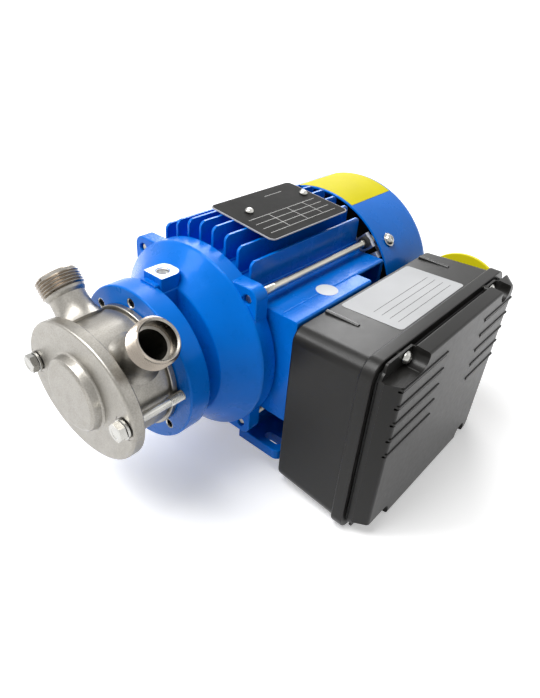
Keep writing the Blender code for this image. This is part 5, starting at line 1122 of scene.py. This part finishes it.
class AddBoxLid(bpy.types.Operator):
    """Add the lid with its louvres and screw pockets"""
    bl_idname = "pump.box_lid"
    bl_label = "Box lid"

    def execute(self, context):
        sizes = context.scene.pump_box
        face = sizes.lid_face / MM
        flange = rounded_block((BOX_LEFT, -134.6, BOX_LOW), (BOX_RIGHT, -130.6, BOX_HIGH), 1, 6.4, 8)
        left, right, low, high = 1.5, 144.5, -84.5, 41.0
        start = (-3.5, 156.1, -85.3, 41.8)
        dome = block((start[0], -face, start[2]), (start[1], -134, start[3]))
        middle = ((start[0] + start[1]) / 2, -face, (start[2] + start[3]) / 2)
        scale = ((right - left) / (start[1] - start[0]), 1, (high - low) / (start[3] - start[2]))
        resize_face(dome, lies(1, -face), scale, middle, ((left + right) / 2 - middle[0], 0, 0))
        bevel(dome, lambda edge: abs((edge.verts[1].co - edge.verts[0].co).y) > 5 * MM, 5, 8)
        bevel(dome, lies(1, -face), 1.5, 4)
        bevel(dome, lies(1, -134), 0.7, 2)
        join(dome, flange)
        hollow = block((3, -140.4, -78), (150, -130, 34.5))
        resize_face(hollow, lies(1, -140.4), (138 / 147, 1, 1), (73, -140.4, 0), (-3, 0, 0))
        cut(dome, hollow)
        for x, z in LID_SCREWS:
            low_z, high_z = (30.2, 40.9) if z > 0 else (-84.4, -72.6)
            left = 0.5 if x < 50 else x - 8.6
            plug = rounded_block((left, -141.6, low_z), (x + 8.6, -130.8, high_z), 1, 2.2, 4)
            join(dome, plug)
        for x, z in LID_SCREWS:
            out = z + math.copysign(2.2, z)
            pocket = turned([(132.2, 6.3), (132.6, 6.5), (face - 2, 6.5), (face + 1, 6.9)], 48,
                            at(x, 0, out) @ TOWARDS_BOX)
            gap = block((x - 6.5, -face - 1, min(out, out + math.copysign(9, z))),
                        (x + 6.5, -132.2, max(out, out + math.copysign(9, z))))
            cut(dome, pocket)
            cut(dome, gap)
        for low_z, high_z in ((31.8, 50), (-90, -74.4)):
            corner = block((-12, -face - 1, low_z), (20, -132.2, high_z))
            cut(dome, bevel(corner, lambda edge: runs(1)(edge) and edge.verts[0].co.x > 0, 1.5, 3))
        pitch = sizes.louvre_pitch / MM
        for i in range(LOUVRES):
            z = FIRST_LOUVRE - i * pitch
            for start_x, end_x in ((0.9, 51.8), (102.2, 145.2)):
                lip = block((start_x, -face - 0.7, z + 0.75), (end_x, -face + 2, z + 2.3))
                bevel(lip, lies(1, -face - 0.7), 0.5, 3)
                join(dome, lip)
        for i in range(LOUVRES):
            z = FIRST_LOUVRE - i * pitch
            for start_x, end_x in ((0.4, 51.5), (102.5, 145.7)):
                slot = block((start_x, -face - 1, z - 0.9), (end_x, -face + 5, z + 0.9))
                resize_face(slot, lies(1, -face + 5), (1, 1, 0.5), (0, 0, z + 0.9))
                bevel(slot, lambda edge: runs(1)(edge) and 30 * MM < edge.verts[0].co.x < 120 * MM, 0.36, 3)
                cut(dome, slot)
        smooth(dome, 30)
        dress(dome, "lid_moulding", "black_plastic", stands_for=["box_lid"])
        return {"FINISHED"}


class AddLidScrews(bpy.types.Operator):
    """Add the four cross recess screws of the lid"""
    bl_idname = "pump.lid_screws"
    bl_label = "Lid screws"

    def execute(self, context):
        screw = turned([(123, 1.2), (123.6, 1.5), (132.5, 1.5), (132.5, 3.7), (132.7, 3.85), (133.3, 3.8),
                        (134.2, 3.3), (134.9, 2.5), (135.2, 1.6), (135.3, 0.5)], 32, UPRIGHT)
        cross_recess(screw, 135.3, 1.5, UPRIGHT)
        smooth(screw, 30)
        for number, (x, z) in enumerate(LID_SCREWS, 1):
            dress(twin(screw, at(x, 0, z) @ TOWARDS_BOX @ Matrix.Rotation(0.4 + number, 4, "Z")),
                  f"box_screw_{number}", "bright_steel",
                  stands_for=[f"lid_screw_{number}"])
        discard(screw)
        return {"FINISHED"}


class AddSwitch(bpy.types.Operator):
    """Add the switch dial with its marks and the turning knob"""
    bl_idname = "pump.switch"
    bl_label = "Switch"

    def execute(self, context):
        sizes = context.scene.pump_box
        radius = sizes.dial_radius / MM
        centre = at(0, -SWITCH_OUT, SWITCH_HIGH)
        dial = turned([(161.4, 4.0), (161.4, 15), (164.1, 15), (164.1, radius - 0.6), (164.4, radius),
                       (166.4, radius), (167.1, radius - 0.9), (167.1, 4.0)], 96, centre @ ALONG_SHAFT,
                      closed=True)
        smooth(dial, 30)
        dress(dial, "dial_plate", "dial_yellow", stands_for=["switch_dial"])
        marks = []
        for angle in (-60, 0, 60):
            mark = block((167.05, -0.8, radius - 11), (167.35, 0.8, radius - 4))
            marks.append(place(mark, centre @ turn(math.radians(angle))))
        ring = turned([(167.05, 14.6), (167.25, 14.6), (167.25, 15.2), (167.05, 15.2)], 64,
                      centre @ ALONG_SHAFT, closed=True)
        dress(gather(marks + [ring]), "dial_marks", "smooth_black_plastic")
        knob_radius = sizes.knob_radius / MM
        skirt = turned([(167.5, knob_radius - 0.4), (167.9, knob_radius), (170.3, knob_radius),
                        (171.3, knob_radius - 0.9), (171.3, 6)], 64)
        grip = rounded_block((168.5, -3.6, -knob_radius + 0.6), (183.5, 3.6, knob_radius - 0.6),
                             0, 3.2, 6, 0.8)
        join(skirt, grip)
        join(skirt, turned([(138.4, 3), (168.6, 3)], 32))
        pointer = block((183.4, -0.5, 2), (183.75, 0.5, knob_radius - 1.6))
        smooth(skirt, 30)
        dress(place(skirt, centre), "knob_moulding", "knob_red", body="knob",
              stands_for=["switch_knob"])
        dress(place(pointer, centre), "knob_pointer", "sticker_white", body="knob")
        return {"FINISHED"}


class AddGland(bpy.types.Operator):
    """Add the cable gland with its ribbed cap"""
    bl_idname = "pump.gland"
    bl_label = "Cable gland"

    def execute(self, context):
        centre = at(0, -SWITCH_OUT, GLAND_HIGH)
        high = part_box("cable_gland")[1]
        hex_start = high.x / MM - ORIGIN.x / MM - 14
        collar = turned([(hex_start, 13.86), (hex_start + 5, 13.86)], 6, centre @ ALONG_SHAFT)
        cut(collar, turned([(hex_start - 0.1, 13.9), (hex_start + 4.0, 13.9), (hex_start + 5.0, 12.2)], 48,
                           centre @ ALONG_SHAFT), "INTERSECT")
        body = turned([(147.4, 4.3), (147.4, 9.2), (148, 9.7), (hex_start + 13.5, 9.7), (hex_start + 14, 9.3),
                       (hex_start + 14, 4.3)], 64, centre @ ALONG_SHAFT, closed=True)
        cut(collar, turned([(hex_start - 1, 9), (hex_start + 6, 9)], 48, centre @ ALONG_SHAFT))
        smooth(body, 30)
        smooth(collar, 20)
        dress(gather([collar, body]), "gland_body", "smooth_black_plastic",
              stands_for=["cable_gland"])
        start = hex_start + 5.3
        cap = turned([(start, 10), (start, 11.3), (start + 0.4, 11.7), (start + 9, 11.6), (start + 10, 11.1),
                      (start + 12.6, 9.0), (start + 13.8, 7.2), (start + 14, 6.4), (start + 14, 4.3),
                      (start + 10.5, 4.3), (start + 10.5, 10)], 96, centre @ ALONG_SHAFT, closed=True)
        ribs = []
        for angle in around(24):
            rib = block((start + 0.8, -0.45, 11.2), (start + 8.8, 0.45, 12.0))
            bevel(rib, lies(2, 12.0), 0.25, 2)
            ribs.append(place(rib, centre @ turn(angle)))
        smooth(cap, 30)
        dress(gather([cap] + ribs), "gland_nut", "smooth_black_plastic",
              stands_for=["gland_cap"])
        return {"FINISHED"}


class AddLabels(bpy.types.Operator):
    """Add the bare stickers on the cowl, the pad and the box"""
    bl_idname = "pump.labels"
    bl_label = "Bare labels"

    def execute(self, context):
        radius = context.scene.pump_motor.cowl_radius / MM
        band = place(self.wrapped_strip(radius + 0.04), turn(STICKER_TURN))
        dress(smooth(band, 30), "cowl_sticker", "sticker_yellow")
        seal = turned([(37.98, 7.0), (38.12, 7.0), (38.14, 6.9)], 48, at(46.2, -61.6, 0))
        dress(smooth(seal), "pad_sticker", "sticker_white")
        label = rounded_block((39, -119, 36.2), (120, -77, 36.5), 2, 2.6, 6)
        lines = [block((46, y - 0.16, 36.4), (113, y + 0.16, 36.56)) for y in (-112.5, -107, -101.5, -96)]
        slope = at(0, -74, 36.3) @ turn(-math.atan(2.4 / 55)) @ at(0, 74, -36.3)
        dress(place(label, slope), "box_label", "label_silver")
        dress(place(gather(lines), slope), "box_label_rules", "label_line")
        return {"FINISHED"}

    @staticmethod
    def wrapped_strip(radius):
        """A thin strip round the cowl: a line along the shaft, spun about it and thickened outwards."""
        rest()
        bpy.ops.mesh.primitive_plane_add(size=1)
        band = bpy.context.object
        for vertex in band.data.vertices:
            vertex.co = ((STICKER_START if vertex.co.x < 0 else STICKER_END) * MM, 0, radius * MM)
        bpy.ops.object.mode_set(mode="EDIT")
        bpy.ops.mesh.select_mode(type="VERT")
        bpy.ops.mesh.select_all(action="SELECT")
        bpy.ops.mesh.remove_doubles(threshold=0.01 * MM)
        bpy.ops.mesh.select_all(action="SELECT")
        bpy.ops.mesh.spin(steps=36, angle=STICKER_SWEEP, center=(0, 0, 0), axis=(1, 0, 0))
        bpy.ops.mesh.select_all(action="SELECT")
        bpy.ops.mesh.normals_make_consistent(inside=False)
        take(band)
        step = band.modifiers.new("sheet", "SOLIDIFY")
        step.thickness = 0.12 * MM
        step.offset = 1.0
        bpy.ops.object.modifier_apply(modifier=step.name)
        return band


class FinishCarriedNodes(bpy.types.Operator):
    """Give every CAD node its procedural finish"""
    bl_idname = "pump.carried_nodes"
    bl_label = "CAD finishes"

    def execute(self, context):
        slots = {part["node"]: part["material_slot"] for part in frame["record"]["subparts"]}
        for name, node in frame["nodes"].items():
            material = MATERIALS[slots[name]]
            node.data.materials.clear()
            node.data.materials.append(material)
        return {"FINISHED"}


OPERATORS = (AddStudio, AddFrontCover, AddCoverBolts, AddPumpBody, AddEndBell, AddMotorFrame, AddRearShield,
             AddTieRods, AddFanCowl, AddCowlScrews, AddRatingPlate, AddBoxBase, AddBoxLid, AddLidScrews,
             AddSwitch, AddGland, AddLabels, FinishCarriedNodes)
GROUPS = {"pump_head": PumpHeadSizes, "pump_motor": MotorSizes, "pump_box": BoxSizes,
          "pump_finishes": Finishes, "pump_studio": StudioSettings}


class PumpPanel(bpy.types.Panel):
    """Lists the pieces of the pump"""
    bl_idname = "VIEW3D_PT_pump"
    bl_label = "Flexible impeller pump"
    bl_space_type = "VIEW_3D"
    bl_region_type = "UI"
    bl_category = "Pump"

    def draw(self, context):
        for operator in OPERATORS:
            self.layout.operator(operator.bl_idname)
        for name, group in GROUPS.items():
            box = self.layout.box()
            for key in group.__annotations__:
                box.prop(getattr(context.scene, name), key)


def register():
    for group in GROUPS.values():
        bpy.utils.register_class(group)
    for name, group in GROUPS.items():
        setattr(bpy.types.Scene, name, bpy.props.PointerProperty(type=group))
    for operator in OPERATORS:
        bpy.utils.register_class(operator)
    bpy.utils.register_class(PumpPanel)


def unregister():
    bpy.utils.unregister_class(PumpPanel)
    for operator in reversed(OPERATORS):
        bpy.utils.unregister_class(operator)
    for name in GROUPS:
        delattr(bpy.types.Scene, name)
    for group in GROUPS.values():
        bpy.utils.unregister_class(group)


def main():
    register()
    make_materials(bpy.context.scene.pump_finishes)
    bpy.ops.pump.studio()
    bpy.ops.pump.front_cover()
    bpy.ops.pump.cover_bolts()
    bpy.ops.pump.body()
    bpy.ops.pump.end_bell()
    bpy.ops.pump.motor_frame()
    bpy.ops.pump.rear_shield()
    bpy.ops.pump.tie_rods()
    bpy.ops.pump.fan_cowl()
    bpy.ops.pump.cowl_screws()
    bpy.ops.pump.rating_plate()
    bpy.ops.pump.box_base()
    bpy.ops.pump.box_lid()
    bpy.ops.pump.lid_screws()
    bpy.ops.pump.switch()
    bpy.ops.pump.gland()
    bpy.ops.pump.labels()
    bpy.ops.pump.carried_nodes()
    rest()


if __name__ == "__main__":
    main()
